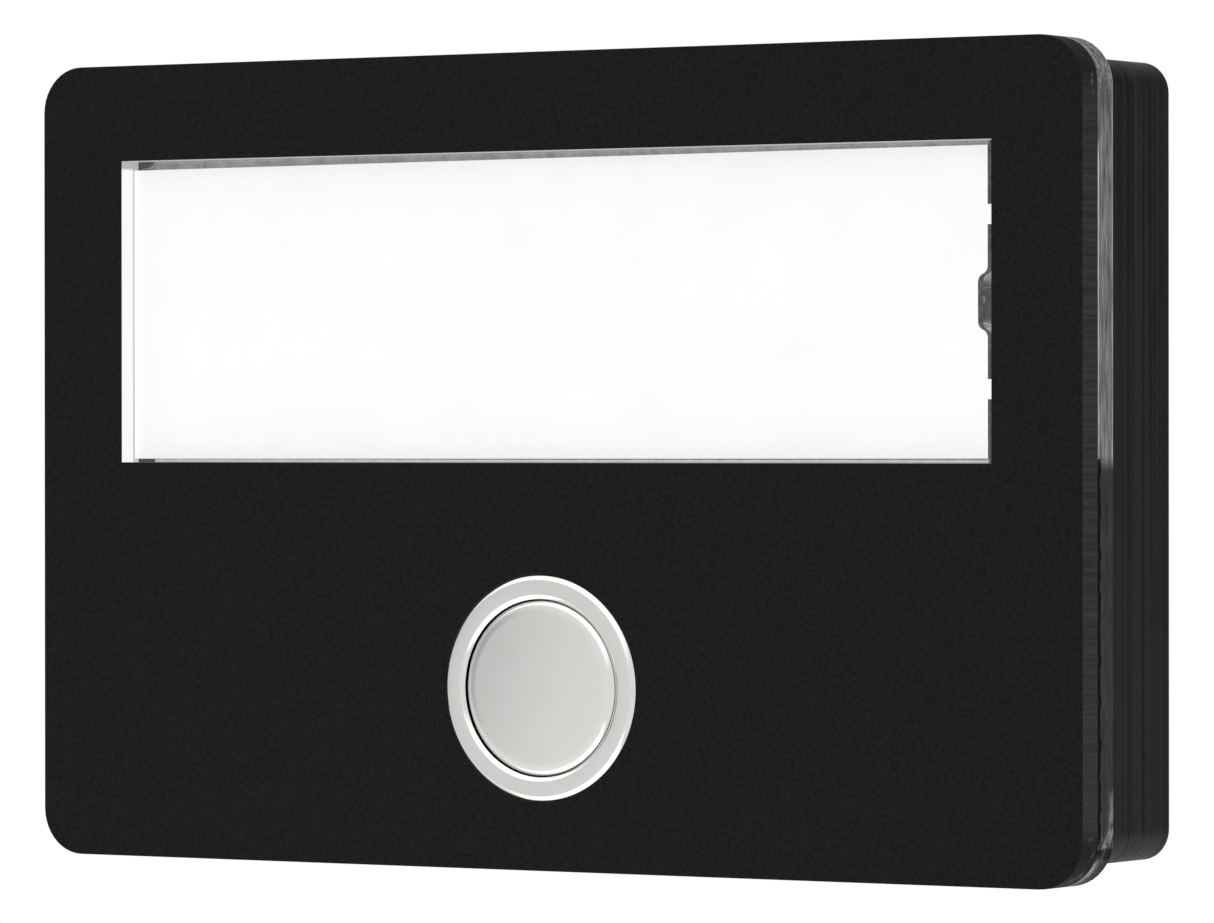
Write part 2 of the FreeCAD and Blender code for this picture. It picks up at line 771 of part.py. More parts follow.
def housing_screws():
    """Four equal self-tapping screws with cross recesses: two for each board."""
    screws = []
    for number, (x, z, head, post) in enumerate(screw_places(), start=1):
        body = new_body(f"housing_screw_{number}", x=x, z=z)
        shank, rim = D.screw_dia / 2, D.screw_head_dia / 2
        low, tip = head - D.screw_head, head + D.screw_length
        crown = D.screw_socket / 2 + D.screw_slot
        points = [(0, low), (crown, low), (rim, low + D.screw_head / 2), (rim, head), (shank, head)]
        points += [(shank, tip - shank / 2), (shank / 2, tip), (0, tip)]
        turned(body, points)
        drill(body, low, D.screw_head / 2, rectangle(0, 0, D.screw_socket, D.screw_slot))
        drill(body, low, D.screw_head / 2, rectangle(0, 0, D.screw_slot, D.screw_socket))
        screws.append(body)
    return group("housing_screws", screws)


# ------------------------------------------------------------------------------------- wire connection

def connection_board():
    """Small board that carries the terminal block, on two posts of the casing."""
    body = new_body("connection_board")
    add(body, CONNECT, D.board_thick, rectangle(CONNECT_X, CONNECT_Z, D.connect_width, D.connect_height))
    holes = [Disc(x, z, D.screw_hole) for x, z, head, post in screw_places()[2:]]
    cut(body, CONNECT_FRONT, D.board_thick, *holes)
    return body


def poles():
    """Middle of each of the four poles of the terminal block."""
    middle = CONNECT_X - D.block_shift
    return [middle + D.pole_pitch * step for step in (-1.5, -0.5, 0.5, 1.5)]


BLOCK_Z = CONNECT_Z - (D.connect_height - D.block_height) / 2 + D.block_rise
BLOCK_BACK = CONNECT - D.block_deep
CAGE_BACK = CONNECT - D.cage_seat - D.cage_deep


def terminal_block():
    """Four-pole block: screw wells open at the back, wire entries open below."""
    body = new_body("terminal_block")
    outline = rectangle(CONNECT_X - D.block_shift, BLOCK_Z, D.block_width, D.block_height)
    add(body, BLOCK_BACK, D.block_deep, outline)
    wells = [rectangle(x, BLOCK_Z, D.cage_width, D.cage_height) for x in poles()]
    drill(body, BLOCK_BACK, D.block_deep - D.cage_seat, *wells)
    entry_level = CAGE_BACK + D.cage_deep / 2
    wall = (D.block_height - D.cage_height) / 2
    entries = [Disc(x, entry_level, D.clamp_head) for x in poles()]
    bore_up(body, BLOCK_Z - D.block_height / 2, wall, *entries)
    return body


def terminal_cages():
    """Brass clamp cages, bored across for the wire and along for the screw."""
    cages = []
    for number, x in enumerate(poles(), start=1):
        body = new_body(f"terminal_cage_{number}")
        add(body, CAGE_BACK, D.cage_deep, rectangle(x, BLOCK_Z, D.cage_width, D.cage_height))
        bore_up(body, BLOCK_Z - D.cage_height / 2, D.cage_height,
                Disc(x, CAGE_BACK + D.cage_deep / 2, D.clamp_dia))
        drill(body, CAGE_BACK, D.cage_deep / 2, Disc(x, BLOCK_Z, D.clamp_dia))
        cages.append(body)
    return group("terminal_cages", cages)


def terminal_screws():
    """Slotted clamp screws in the cages."""
    screws = []
    for number, x in enumerate(poles(), start=1):
        body = new_body(f"terminal_screw_{number}", x=x, z=BLOCK_Z)
        head, shank = D.clamp_head / 2, D.clamp_dia / 2
        low = CAGE_BACK - D.clamp_head_deep
        tip = CAGE_BACK + (D.cage_deep - D.clamp_dia) / 2
        turned(body, [(0, low), (head, low), (head, CAGE_BACK), (shank, CAGE_BACK), (shank, tip), (0, tip)])
        drill(body, low, D.clamp_head_deep / 2, rectangle(0, 0, D.clamp_head * 1.1, D.clamp_slot))
        screws.append(body)
    return group("terminal_screws", screws)


def bent_path(points):
    """Straight runs joined by arcs, each as large as its two runs allow."""
    share = 0.45
    edges = []
    start = points[0]
    for before, here, after in zip(points, points[1:], points[2:]):
        back = (before - here).normalize()
        onward = (after - here).normalize()
        cut_back = share * min(before.distanceToPoint(here), here.distanceToPoint(after))
        enter, leave = here + back * cut_back, here + onward * cut_back
        half_turn = (math.pi - back.getAngle(onward)) / 2
        radius = cut_back / math.tan(half_turn)
        middle_line = (back + onward).normalize()
        centre = here + middle_line * (radius / math.cos(half_turn))
        edges.append(Part.LineSegment(start, enter).toShape())
        edges.append(Part.Arc(enter, centre - middle_line * radius, leave).toShape())
        start = leave
    edges.append(Part.LineSegment(start, points[-1]).toShape())
    return Part.Wire(edges)


def swept(path, diameter):
    """Round section swept along a path from its first point."""
    edge = path.Edges[0]
    start = edge.valueAt(edge.FirstParameter)
    ring = Part.Wire(Part.makeCircle(diameter / 2, start, edge.tangentAt(edge.FirstParameter)))
    return path.makePipeShell([ring], True, True)


def lead(label, route):
    """Insulated wire along a route of (x, level, z) points."""
    points = [FreeCAD.Vector(size(x).number, -size(level).number, size(z).number) for x, level, z in route]
    piece = doc.addObject("Part::Feature", label)
    piece.Label = label
    piece.Shape = swept(bent_path(points), D.lead_dia.number)
    piece.Placement = FreeCAD.Placement()
    return piece


def lamp_leads():
    """Two wires from the connection board up to the light board, lying on the back of both."""
    pieces = []
    low, high = LED_BOARD - D.lead_dia / 2, CONNECT - D.lead_dia / 2
    board_top = CONNECT_Z + D.connect_height / 2
    led_edge = WINDOW_Z - FRAME_Z - D.ear_length + D.board_edge
    for number, side in enumerate((-0.5, 0.5), start=1):
        x = CONNECT_X + D.lamp_lead_shift + D.lamp_lead_pitch * side
        route = [(x, high, board_top - D.lamp_lead_overlap), (x, high, board_top - D.lead_bend)]
        route += [(x, low, led_edge - D.lead_bend), (x, low, led_edge + D.lead_bend)]
        pieces.append(lead(f"lamp_lead_{number}", route))
    return group("lamp_leads", pieces)


def switch_leads():
    """Two wires from the connection board across to the switch's solder tags."""
    pieces = []
    low, high = TAG_END + D.lead_dia, CONNECT - D.lead_dia / 2
    edge = CONNECT_X + D.connect_width / 2
    for number, side in enumerate((-0.5, 0.5), start=1):
        z = BUTTON_Z + D.contact_pitch * side
        bend = -BARREL_DIA / 2 - D.lead_bend
        route = [(edge - D.switch_lead_overlap, high, z), (edge, high, z)]
        route += [(bend, low, z), (-D.tag_thick / 2, low, z)]
        pieces.append(lead(f"switch_lead_{number}", route))
    return group("switch_leads", pieces)


# ------------------------------------------------------------------------------------------- bell push

def button_barrel():
    """Turned metal barrel: bevelled flange, cap bore and stem guide; plain rings stand for its thread."""
    body = new_body("button_barrel", z=BUTTON_Z)
    bore, guide, rear = CAP_BORE / 2, GUIDE_BORE / 2, D.rear_bore / 2
    rim, neck = FLANGE_DIA / 2, BARREL_DIA / 2
    flange_back = PUSH_FACE - D.flange_thick
    root = neck - D.thread_deep
    points = [(bore + D.rim_bevel, PUSH_FACE), (rim - D.rim_bevel, PUSH_FACE)]
    points += [(rim, PUSH_FACE - D.rim_bevel), (rim, flange_back), (neck, flange_back)]
    crest = D.thread_pitch / 5
    for ring in range(int((CARRIER - BARREL_END).number / D.thread_pitch.number)):
        top = CARRIER - D.thread_pitch * ring
        points += [(neck, top - crest), (root, top - D.thread_pitch / 2)]
        points += [(neck, top - D.thread_pitch + crest)]
    points += [(neck, BARREL_END), (rear, BARREL_END), (rear, GUIDE_BACK), (guide, GUIDE_BACK)]
    points += [(guide, GUIDE_FRONT), (bore, GUIDE_FRONT), (bore, PUSH_FACE - D.rim_bevel)]
    turned(body, points)
    return body


def flange_gasket():
    """Flat rubber ring under the flange, on the carrier plate."""
    body = new_body("flange_gasket", z=BUTTON_Z)
    back = PUSH_FACE - D.flange_thick
    inner, outer = BARREL_DIA / 2 + D.barrel_gap, FLANGE_DIA / 2 - D.barrel_gap
    turned(body, [(inner, BOND), (outer, BOND), (outer, back), (inner, back)])
    return body


def barrel_nut():
    """Hexagon nut that clamps the carrier plate behind the flange."""
    body = new_body("barrel_nut")
    add(body, CARRIER - D.nut_thick, D.nut_thick, hexagon(0, BUTTON_Z, NUT_FLATS))
    cut(body, CARRIER, D.nut_thick, Disc(0, BUTTON_Z, BARREL_DIA))
    return body


def button_cap():
    """Cap with a bevelled edge, on a stem with grooves for its seal and its clip."""
    body = new_body("button_cap", z=BUTTON_Z)
    rim, stem = D.cap_dia / 2, D.stem_dia / 2
    seal_root = stem - D.seal_section
    seal_top = GUIDE_FRONT - D.seal_inset
    seal_low = seal_top - D.seal_section
    clip_root = D.clip_groove / 2
    clip_low = GUIDE_BACK - D.clip_thick
    points = [(0, PUSH_FACE), (rim - D.rim_bevel, PUSH_FACE), (rim, PUSH_FACE - D.rim_bevel), (rim, CAP_BACK)]
    points += [(stem, CAP_BACK), (stem, seal_top), (seal_root, seal_top), (seal_root, seal_low)]
    points += [(stem, seal_low), (stem, GUIDE_BACK), (clip_root, GUIDE_BACK), (clip_root, clip_low)]
    points += [(stem, clip_low), (stem, STEM_END), (0, STEM_END)]
    turned(body, points)
    return body


def cap_seal():
    """Rubber ring in the stem's groove, filling the gap to the guide."""
    body = new_body("cap_seal", z=BUTTON_Z)
    outer = GUIDE_BORE / 2 - D.stem_fit / 2
    inner = D.stem_dia / 2 - D.seal_section
    top = GUIDE_FRONT - D.seal_inset
    low, bevel = top - D.seal_section, D.seal_section / 4
    points = [(inner, low), (outer - bevel, low), (outer, low + bevel), (outer, top - bevel)]
    turned(body, points + [(outer - bevel, top), (inner, top)])
    return body


def cap_clip():
    """Spring clip in the stem's groove that keeps the cap in its barrel, open at one side."""
    body = new_body("cap_clip", z=BUTTON_Z)
    inner, outer = D.clip_groove / 2, D.clip_dia / 2
    low = GUIDE_BACK - D.clip_thick
    turned(body, [(inner, low), (outer, low), (outer, GUIDE_BACK), (inner, GUIDE_BACK)])
    cut(body, GUIDE_BACK, D.clip_thick, rectangle(0, -D.clip_dia / 2, D.clip_groove / 2, D.clip_dia / 2))
    return body


def return_spring():
    """Round-wire coil spring between the barrel's guide and the back of the cap."""
    body = new_body("return_spring", z=BUTTON_Z)
    start = GUIDE_FRONT + D.spring_wire / 2 + D.spring_slack
    rise = D.spring_room - D.spring_wire - D.spring_slack * 2
    profile = new_sketch(body, "XY_Plane", 0, [Disc(D.spring_mean / 2, -start, D.spring_wire)])
    coil = body.newObject("PartDesign::AdditiveHelix", "return_spring_coil")
    coil.Profile = profile
    coil.ReferenceAxis = (profile, ["V_Axis"])
    coil.Mode = "height-turns-angle"
    coil.Reversed = True
    coil.setExpression("Height", rise.text)
    coil.setExpression("Turns", D.spring_turns.text)
    doc.recompute()
    return body


def switch_body():
    """Moulded plug in the barrel's rear, with the contact chamber and a flange behind the barrel."""
    body = new_body("switch_body", z=BUTTON_Z)
    plug = D.rear_bore / 2
    rim, chamber = BARREL_DIA / 2 - D.thread_deep, D.chamber_dia / 2
    hole = D.plunger_dia / 2 + D.plunger_fit
    points = [(hole, SWITCH_FRONT), (plug, SWITCH_FRONT), (plug, BARREL_END), (rim, BARREL_END)]
    points += [(rim, SWITCH_BACK), (0, SWITCH_BACK), (0, CHAMBER_BACK), (chamber, CHAMBER_BACK)]
    points += [(chamber, CHAMBER_FRONT), (hole, CHAMBER_FRONT)]
    turned(body, points)
    thick = CHAMBER_BACK - SWITCH_BACK
    tags = [rectangle(0, D.contact_pitch / 2 * side, D.tag_thick, D.tag_width) for side in (-1, 1)]
    cut(body, CHAMBER_BACK, thick, *tags)
    return body


def plunger():
    """Pin that the stem pushes, with a shoulder that carries the contact bridge."""
    body = new_body("plunger", z=BUTTON_Z)
    radius, neck = D.plunger_dia / 2, D.plunger_dia / 4
    points = [(0, STEM_END), (radius, STEM_END), (radius, BRIDGE_FRONT), (neck, BRIDGE_FRONT)]
    turned(body, points + [(neck, BRIDGE_BACK), (0, BRIDGE_BACK)])
    return body


def contact_bridge():
    """Metal disc on the plunger that joins the two contacts at the end of the travel."""
    body = new_body("contact_bridge", z=BUTTON_Z)
    inner, outer = D.plunger_dia / 4, D.bridge_dia / 2
    points = [(inner, BRIDGE_BACK), (outer, BRIDGE_BACK), (outer, BRIDGE_FRONT), (inner, BRIDGE_FRONT)]
    turned(body, points)
    return body


def switch_terminals():
    """Two fixed contacts in the chamber, each with a solder tag out of the back."""
    pieces = []
    for number, side in enumerate((-1, 1), start=1):
        z = BUTTON_Z + D.contact_pitch / 2 * side
        body = new_body(f"switch_terminal_{number}")
        add(body, CHAMBER_BACK, CONTACT_FRONT - CHAMBER_BACK, Disc(0, z, D.contact_dia))
        add(body, TAG_END, CHAMBER_BACK - TAG_END, rectangle(0, z, D.tag_thick, D.tag_width))
        pieces.append(body)
    return group("switch_terminals", pieces)


# ------------------------------------------------------------------------------------------ the model

def make_pieces():
    """Every piece of the object, in the order it is put together."""
    pieces = [wall_base(), cable_grommet(), lock_inserts(), lock_screws()]
    pieces += [housing_shell(), shell_tape(), carrier_plate()]
    pieces.append(pierced_sheet("bond_sheet", BOND, D.bond_thick, D.bond_inset))
    pieces.append(pierced_sheet("front_plate", FRONT, D.front_thick, 0))
    pieces.append(pierced_sheet("face_film", FILM, D.film_thick, 0))
    pieces += [name_insert(), diffuser_film(), light_frame(), led_board(), leds()]
    pieces += board_parts()
    pieces += [connection_board(), terminal_block(), terminal_cages(), terminal_screws()]
    pieces += [housing_screws(), lamp_leads(), switch_leads()]
    pieces += [button_barrel(), flange_gasket(), barrel_nut(), button_cap(), cap_seal(), cap_clip()]
    pieces += [return_spring(), switch_body(), plunger(), contact_bridge(), switch_terminals()]
    return pieces


def check_document():
    """Stop if any feature failed, or if a pocket takes nothing away."""
    for item in doc.Objects:
        if "Invalid" in item.State or "Error" in item.State:
            raise RuntimeError(f"{item.Label} did not build: {item.State}")
        if item.TypeId == "PartDesign::Pocket":
            before = item.BaseFeature.Shape.Volume
            if before - item.Shape.Volume < 1e-4:
                raise RuntimeError(f"{item.Label} cuts nothing")


def write_pieces(pieces):
    """Check each piece's shape and write it to its own file."""
    for piece in pieces:
        if piece.Shape.isNull() or not piece.Shape.isValid():
            raise RuntimeError(f"{piece.Label} has no valid shape")
    os.makedirs("parts", exist_ok=True)
    for piece in pieces:
        piece.Shape.exportStep(f"parts/{piece.Label}.step")
        solids = len(piece.Shape.Solids)
        print(f"{piece.Label}: {solids} solid(s), {piece.Shape.Volume:.2f} mm3")


all_pieces = make_pieces()
doc.recompute()
check_document()
write_pieces(all_pieces)
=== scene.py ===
import math

import bmesh
import bpy
from mathutils import Matrix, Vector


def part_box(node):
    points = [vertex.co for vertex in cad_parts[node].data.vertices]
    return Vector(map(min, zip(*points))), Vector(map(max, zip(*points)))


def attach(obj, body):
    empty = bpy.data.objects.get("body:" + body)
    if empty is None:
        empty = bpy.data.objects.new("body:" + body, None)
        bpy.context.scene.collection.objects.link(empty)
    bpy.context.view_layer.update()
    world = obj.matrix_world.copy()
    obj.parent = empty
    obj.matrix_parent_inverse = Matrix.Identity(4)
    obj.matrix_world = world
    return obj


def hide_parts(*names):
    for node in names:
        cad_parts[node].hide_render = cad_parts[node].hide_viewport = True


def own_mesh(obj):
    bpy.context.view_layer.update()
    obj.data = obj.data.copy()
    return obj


# An illuminated doorbell push: two clear plates with a black face, a lit name window and a round metal
# push, on a shallow black casing. Sizes are in millimetres until they reach a mesh; a level is the
# height above the wall, so a level of 5 lies at y = -5.
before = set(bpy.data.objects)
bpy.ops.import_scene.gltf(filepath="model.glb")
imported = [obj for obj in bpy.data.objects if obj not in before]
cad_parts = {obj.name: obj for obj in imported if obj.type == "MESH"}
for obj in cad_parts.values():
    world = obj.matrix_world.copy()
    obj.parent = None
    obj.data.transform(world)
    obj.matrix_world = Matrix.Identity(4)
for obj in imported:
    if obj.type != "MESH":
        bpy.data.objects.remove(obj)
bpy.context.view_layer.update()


# ------------------------------------------------------------------------------------------ wall base
# The rear part that is screwed to the wall. It is printed in black plastic, so its sides show the
# layers and its back shows the slanting passes of the nozzle. The rear edge is broken by hand.

class Value:
    """A number that changes over a piece. Sums written with it add Math nodes to its finish."""

    def __init__(self, finish, socket):
        self.finish = finish
        self.socket = socket

    def sum(self, operation, *values):
        return self.finish.node("Math", {"operation": operation}, dict(enumerate(values)))

    def __add__(self, other):
        return self.sum("ADD", self, other)

    def __sub__(self, other):
        return self.sum("SUBTRACT", self, other)

    def __mul__(self, other):
        return self.sum("MULTIPLY", self, other)

    def __truediv__(self, other):
        return self.sum("DIVIDE", self, other)

    def __pow__(self, other):
        return self.sum("POWER", self, other)

    def __gt__(self, other):
        return self.sum("GREATER_THAN", self, other)

    def __rsub__(self, other):
        return self.sum("SUBTRACT", other, self)

    def __abs__(self):
        return self.sum("ABSOLUTE", self)

    __radd__ = __add__
    __rmul__ = __mul__


def grey(colour):
    """A colour socket's value from a single grey, three numbers or a colour that is already linked."""
    if isinstance(colour, Value):
        return colour
    return (*colour, 1) if isinstance(colour, tuple) else (colour, colour, colour, 1)


class Finish:
    """The material of a piece. Its patterns lie in the row frame, so they stay with the piece."""

    def __init__(self, name, **settings):
        self.material = bpy.data.materials.new(name)
        self.material.use_nodes = True
        self.tree = self.material.node_tree
        self.shader = self.tree.nodes["Principled BSDF"]
        self.object_place = self.node("TexCoord", {}, {}, "Object")
        for socket, value in settings.items():
            self.put(socket.replace("_", " "), value)

    def node(self, kind, settings, sockets, output=0):
        made = self.tree.nodes.new("ShaderNode" + kind)
        for name, value in settings.items():
            setattr(made, name, value)
        for name, value in sockets.items():
            self.join(made.inputs[name], value)
        return Value(self, made.outputs[output])

    def join(self, socket, value):
        if isinstance(value, Value):
            self.tree.links.new(value.socket, socket)
        else:
            socket.default_value = value

    def put(self, socket, value):
        """Set or link one of the shader's own sockets."""
        self.join(self.shader.inputs[socket], value)

    def along(self, axis):
        """Where each point lies along X, Y or Z, in millimetres."""
        return self.node("SeparateXYZ", {}, {0: self.object_place}, axis) * 1000

    def facing(self, axis):
        """How much each face looks along X, Y or Z, from 0 to 1."""
        normal = self.node("NewGeometry", {}, {}, "Normal")
        return abs(self.node("SeparateXYZ", {}, {0: normal}, axis))

    def noise(self, size, stretch=(1, 1, 1), detail=2.0, turn=(0, 0, 0)):
        """A soft random pattern with patches of about this size in millimetres, drawn out by stretch."""
        scale = [1000 / size / longer for longer in stretch]
        place = self.node("Mapping", {}, {0: self.object_place, "Rotation": turn})
        place = self.node("VectorMath", {"operation": "MULTIPLY"}, {0: place, 1: scale})
        return self.node("TexNoise", {}, {"Vector": place, "Scale": 1.0, "Detail": detail})

    def rise(self, value, start, end):
        """0 before start and 1 past end, with a soft passage between them."""
        sockets = {"Value": value, "From Min": start, "From Max": end}
        return self.node("MapRange", {"interpolation_type": "SMOOTHSTEP"}, sockets)

    def line(self, value, middle, half, soft):
        """1 on a line this half wide, and 0 away from it."""
        return 1 - self.rise(abs(value - middle), half, half + soft)

    def folded(self, value, length):
        """The value running up and down again over this length, for marks that repeat."""
        return self.node("Math", {"operation": "PINGPONG"}, {0: value, 1: length})

    def tint(self, amount, low, high):
        """A colour between low and high."""
        low, high = (grey(colour) for colour in (low, high))
        return self.node("Mix", {"data_type": "RGBA"}, {0: amount, 6: low, 7: high}, 2)

    def paint(self, amount, low, high):
        self.put("Base Color", self.tint(amount, low, high))

    def relief(self, height, deep):
        """Raise the surface by height times this depth in millimetres."""
        self.put("Normal", self.node("Bump", {}, {"Distance": deep / 1000, "Height": height}))


def dress(finish, *names):
    """Give the finish to CAD nodes that keep their shape."""
    for name in names:
        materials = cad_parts[name].data.materials
        for index in range(len(materials)):
            materials[index] = finish.material


def made_piece(name, shape, finish, body, slot, *stands_for, crease=35):
    """Turn a finished bmesh into a piece of the object that rides on a CAD body."""
    mesh = bpy.data.meshes.new(name)
    shape.to_mesh(mesh)
    shape.free()
    mesh.materials.append(finish.material)
    mesh.shade_smooth()
    mesh.set_sharp_from_angle(angle=math.radians(crease))
    piece = bpy.data.objects.new(name, mesh)
    bpy.context.scene.collection.objects.link(piece)
    normals = piece.modifiers.new("even_normals", "WEIGHTED_NORMAL")
    normals.keep_sharp = True
    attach(piece, body)
    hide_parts(*stands_for)
    return piece


def from_cad(node):
    """A merged copy of a CAD node, with its flat faces whole again."""
    shape = bmesh.new()
    shape.from_mesh(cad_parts[node].data)
    bmesh.ops.remove_doubles(shape, verts=shape.verts, dist=2e-6)
    bmesh.ops.dissolve_limit(
        shape, angle_limit=math.radians(0.5), verts=shape.verts, edges=shape.edges
    )
    return shape


def soften(shape, edges, width):
    """Round these edges over to this width in millimetres."""
    bmesh.ops.bevel(
        shape, geom=edges, offset=width / 1000, segments=2, profile=0.5,
        affect="EDGES", material=-1, clamp_overlap=True,
    )


CASING_CORNER = 0.003
casing_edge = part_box("wall_base")[1]


def on_outline(place):
    """Whether a point lies on the casing's outline: on one of its four sides or in a rounded corner."""
    beyond_x = abs(place.x) - (casing_edge.x - CASING_CORNER)
    beyond_z = abs(place.z) - (casing_edge.z - CASING_CORNER)
    if beyond_x > 0 and beyond_z > 0:
        return math.hypot(beyond_x, beyond_z) > CASING_CORNER - 1e-4
    return max(beyond_x, beyond_z) > CASING_CORNER - 1e-4


def outer_rim(shape, level):
    """The edges round the outside of the casing at this level."""
    return [
        edge for edge in shape.edges
        if all(abs(end.co.y + level / 1000) < 2e-6 and on_outline(end.co) for end in edge.verts)
    ]


def slice_at(shape, point, normal):
    """Add edges to the shape where this plane crosses it."""
    everything = list(shape.verts) + list(shape.edges) + list(shape.faces)
    bmesh.ops.bisect_plane(shape, geom=everything, dist=1e-7, plane_co=point, plane_no=normal)


def layer_line(shape, level, half, deep):
    """Press a fine line into the casing's outer walls at this level, as one slipped layer leaves."""
    for step in (-half, 0, half):
        slice_at(shape, (0, -(level + step) / 1000, 0), (0, 1, 0))
    shape.normal_update()
    for vertex in shape.verts:
        if abs(vertex.co.y + level / 1000) < 1e-6 and on_outline(vertex.co):
            vertex.co -= vertex.normal * deep / 1000


casing_black = Finish("casing_black", Specular_IOR_Level=0.13)
layers = casing_black.noise(0.34, stretch=(300, 1, 300), detail=3.0)
passes = casing_black.noise(0.42, stretch=(1, 1, 60), turn=(0, math.radians(38), 0), detail=1.0)
slanted = casing_black.noise(0.4, stretch=(40, 1, 40), turn=(0, 0, math.radians(-35)), detail=2.0)
patches = casing_black.noise(9.0, stretch=(1, 0.5, 1), detail=3.0)
grit = casing_black.noise(0.12, detail=1.0)
flat_side = casing_black.facing("Y")
bottom_end = casing_black.rise(0 - casing_black.along("Z"), 34.5, 37.5)
ribs = layers + flat_side * (passes - layers) + bottom_end * (slanted - layers) * (1 - flat_side)
casing_black.paint(ribs * 2.6 + patches * 0.4 + grit * 0.3 + bottom_end * 0.8 - 1.2, 0.001, 0.019)
casing_black.put("Roughness", 0.42 + ribs * 0.22 + grit * 0.1)
casing_black.relief(ribs + grit * 0.3, 0.05)

BASE_DEPTH, REAR_BREAK, JOINT_BREAK = 5.4, 0.25, 0.08
shape = from_cad("wall_base")
soften(shape, outer_rim(shape, 0), REAR_BREAK)
soften(shape, outer_rim(shape, BASE_DEPTH), JOINT_BREAK)
layer_line(shape, 1.25, 0.07, 0.05)
made_piece("wall_base_print", shape, casing_black, "housing", "casing_black", "wall_base")


# ------------------------------------------------------------------------------------- lock fastenings
# Two small brass inserts sit in the base's lugs, and two blackened grub-like screws come up through
# the casing's bottom into them. The brass is turned and knurled, the screws are black oxide steel.
brass = Finish("brass", Metallic=1.0)
turning = brass.noise(0.08, stretch=(12, 12, 1), detail=2.0)
tarnish = brass.noise(1.4, detail=3.0)
brass.paint(tarnish, (0.62, 0.44, 0.19), (0.80, 0.62, 0.33))
brass.put("Roughness", 0.22 + turning * 0.18 + tarnish * 0.1)
brass.relief(turning, 0.01)
dress(brass, "lock_inserts")

lock_steel = Finish("lock_steel", Metallic=1.0)
scuffs = lock_steel.noise(0.5, detail=4.0)
lock_steel.paint(scuffs, (0.045, 0.045, 0.05), (0.13, 0.13, 0.135))
lock_steel.put("Roughness", 0.3 + scuffs * 0.3)
lock_steel.relief(scuffs, 0.01)
dress(lock_steel, "lock_screws")


# ------------------------------------------------------------------------------------------- grommet
# Soft rubber ring in the base's floor that the bell wire comes through. It is moulded, with a dull
# bloom on the rubber and a faint grain from the mould.
seal_rubber = Finish("seal_rubber", Specular_IOR_Level=0.3)
bloom = seal_rubber.noise(1.8, detail=4.0)
mould = seal_rubber.noise(0.09, detail=1.0)
seal_rubber.paint(bloom, 0.012, 0.034)
seal_rubber.put("Roughness", 0.62 + bloom * 0.2)
seal_rubber.relief(mould + bloom, 0.012)
shape = from_cad("cable_grommet")
made_piece("cable_grommet_ring", shape, seal_rubber, "housing", "seal_rubber", "cable_grommet")
dress(seal_rubber, "flange_gasket", "cap_seal")


# ---------------------------------------------------------------------------------- connection board
# Small green board with the bell wire's terminal block. Copper tracks show as a slightly raised,
# lighter pattern under the solder mask.
board_green = Finish("board_green", Coat_Weight=0.5, Coat_Roughness=0.12)
along_x, along_z = board_green.along("X"), board_green.along("Z")
track_x = board_green.line(board_green.folded(along_x, 1.75), 1.2, 0.3, 0.05)
track_z = board_green.line(board_green.folded(along_z, 3.4), 2.5, 0.35, 0.05)
routes = board_green.noise(5.0, detail=0.0)
tracks = board_green.rise(track_x * (routes > 0.5) + track_z * (0.52 - routes > 0), 0.2, 0.8)
board_green.paint(tracks, (0.010, 0.085, 0.035), (0.025, 0.19, 0.075))
board_green.put("Roughness", 0.38 + board_green.noise(0.3) * 0.15)
board_green.relief(tracks, 0.035)
dress(board_green, "connection_board")

block_grey = Finish("block_grey", Specular_IOR_Level=0.4)
flow = block_grey.noise(1.2, stretch=(1, 3, 1), detail=3.0)
pitted = block_grey.noise(0.07, detail=1.0)
block_grey.paint(flow, (0.25, 0.26, 0.27), (0.36, 0.37, 0.38))
block_grey.put("Roughness", 0.4 + pitted * 0.25)
block_grey.relief(pitted, 0.012)
dress(block_grey, "terminal_block")

nut_metal = Finish("nut_metal", Metallic=1.0)
plated = nut_metal.noise(0.7, detail=4.0)
filed = nut_metal.noise(0.06, stretch=(1, 40, 1), detail=2.0)
nut_metal.paint(plated, (0.66, 0.64, 0.60), (0.80, 0.79, 0.76))
nut_metal.put("Roughness", 0.16 + filed * 0.16 + plated * 0.06)
nut_metal.relief(filed, 0.006)
dress(nut_metal, "terminal_cages")

screw_steel = Finish("screw_steel", Metallic=1.0)
zinc = screw_steel.noise(0.4, detail=4.0)
drawn = screw_steel.noise(0.05, stretch=(1, 14, 1), detail=2.0)
screw_steel.paint(zinc, (0.36, 0.37, 0.39), (0.58, 0.58, 0.57))
screw_steel.put("Roughness", 0.24 + drawn * 0.2)
screw_steel.relief(drawn, 0.006)
dress(screw_steel, "terminal_screws", "housing_screws")


# -------------------------------------------------------------------------------------------- casing
# The casing that clips and locks on the base, printed in the same black. Two slipped layers show as
# fine lines near its rear, and a third fine gap is the joint with the base.
SLIPPED_LAYERS = (7.6, 8.4)
shape = from_cad("housing_shell")
soften(shape, outer_rim(shape, BASE_DEPTH), JOINT_BREAK)
for slipped in SLIPPED_LAYERS:
    layer_line(shape, slipped, 0.06, 0.045)
made_piece("housing_shell_print", shape, casing_black, "housing", "casing_black", "housing_shell")


# ----------------------------------------------------------------------------------------- light box
# White frame behind the window that holds the diffuser film before a white board with twelve LEDs.
# The board carries their resistors, a rectifier and a capacitor, all soldered flat.
frame_white = Finish("frame_white", Specular_IOR_Level=0.4, Emission_Strength=1.0)
speckle = frame_white.noise(0.1, detail=2.0)
cloud_tone_and_glow = frame_white.noise(6.0, detail=3.0)
frame_white.paint(cloud_tone_and_glow, 0.80, 0.90)
frame_white.put("Roughness", 0.45 + speckle * 0.2)
# painted glow: the frame and the diffuser film get a faint cloudy emission, as if lit by the LEDs
frame_white.put("Emission Color", frame_white.tint(cloud_tone_and_glow, 0.10, 0.16))
frame_white.relief(speckle, 0.008)
dress(frame_white, "light_frame", "diffuser_film")

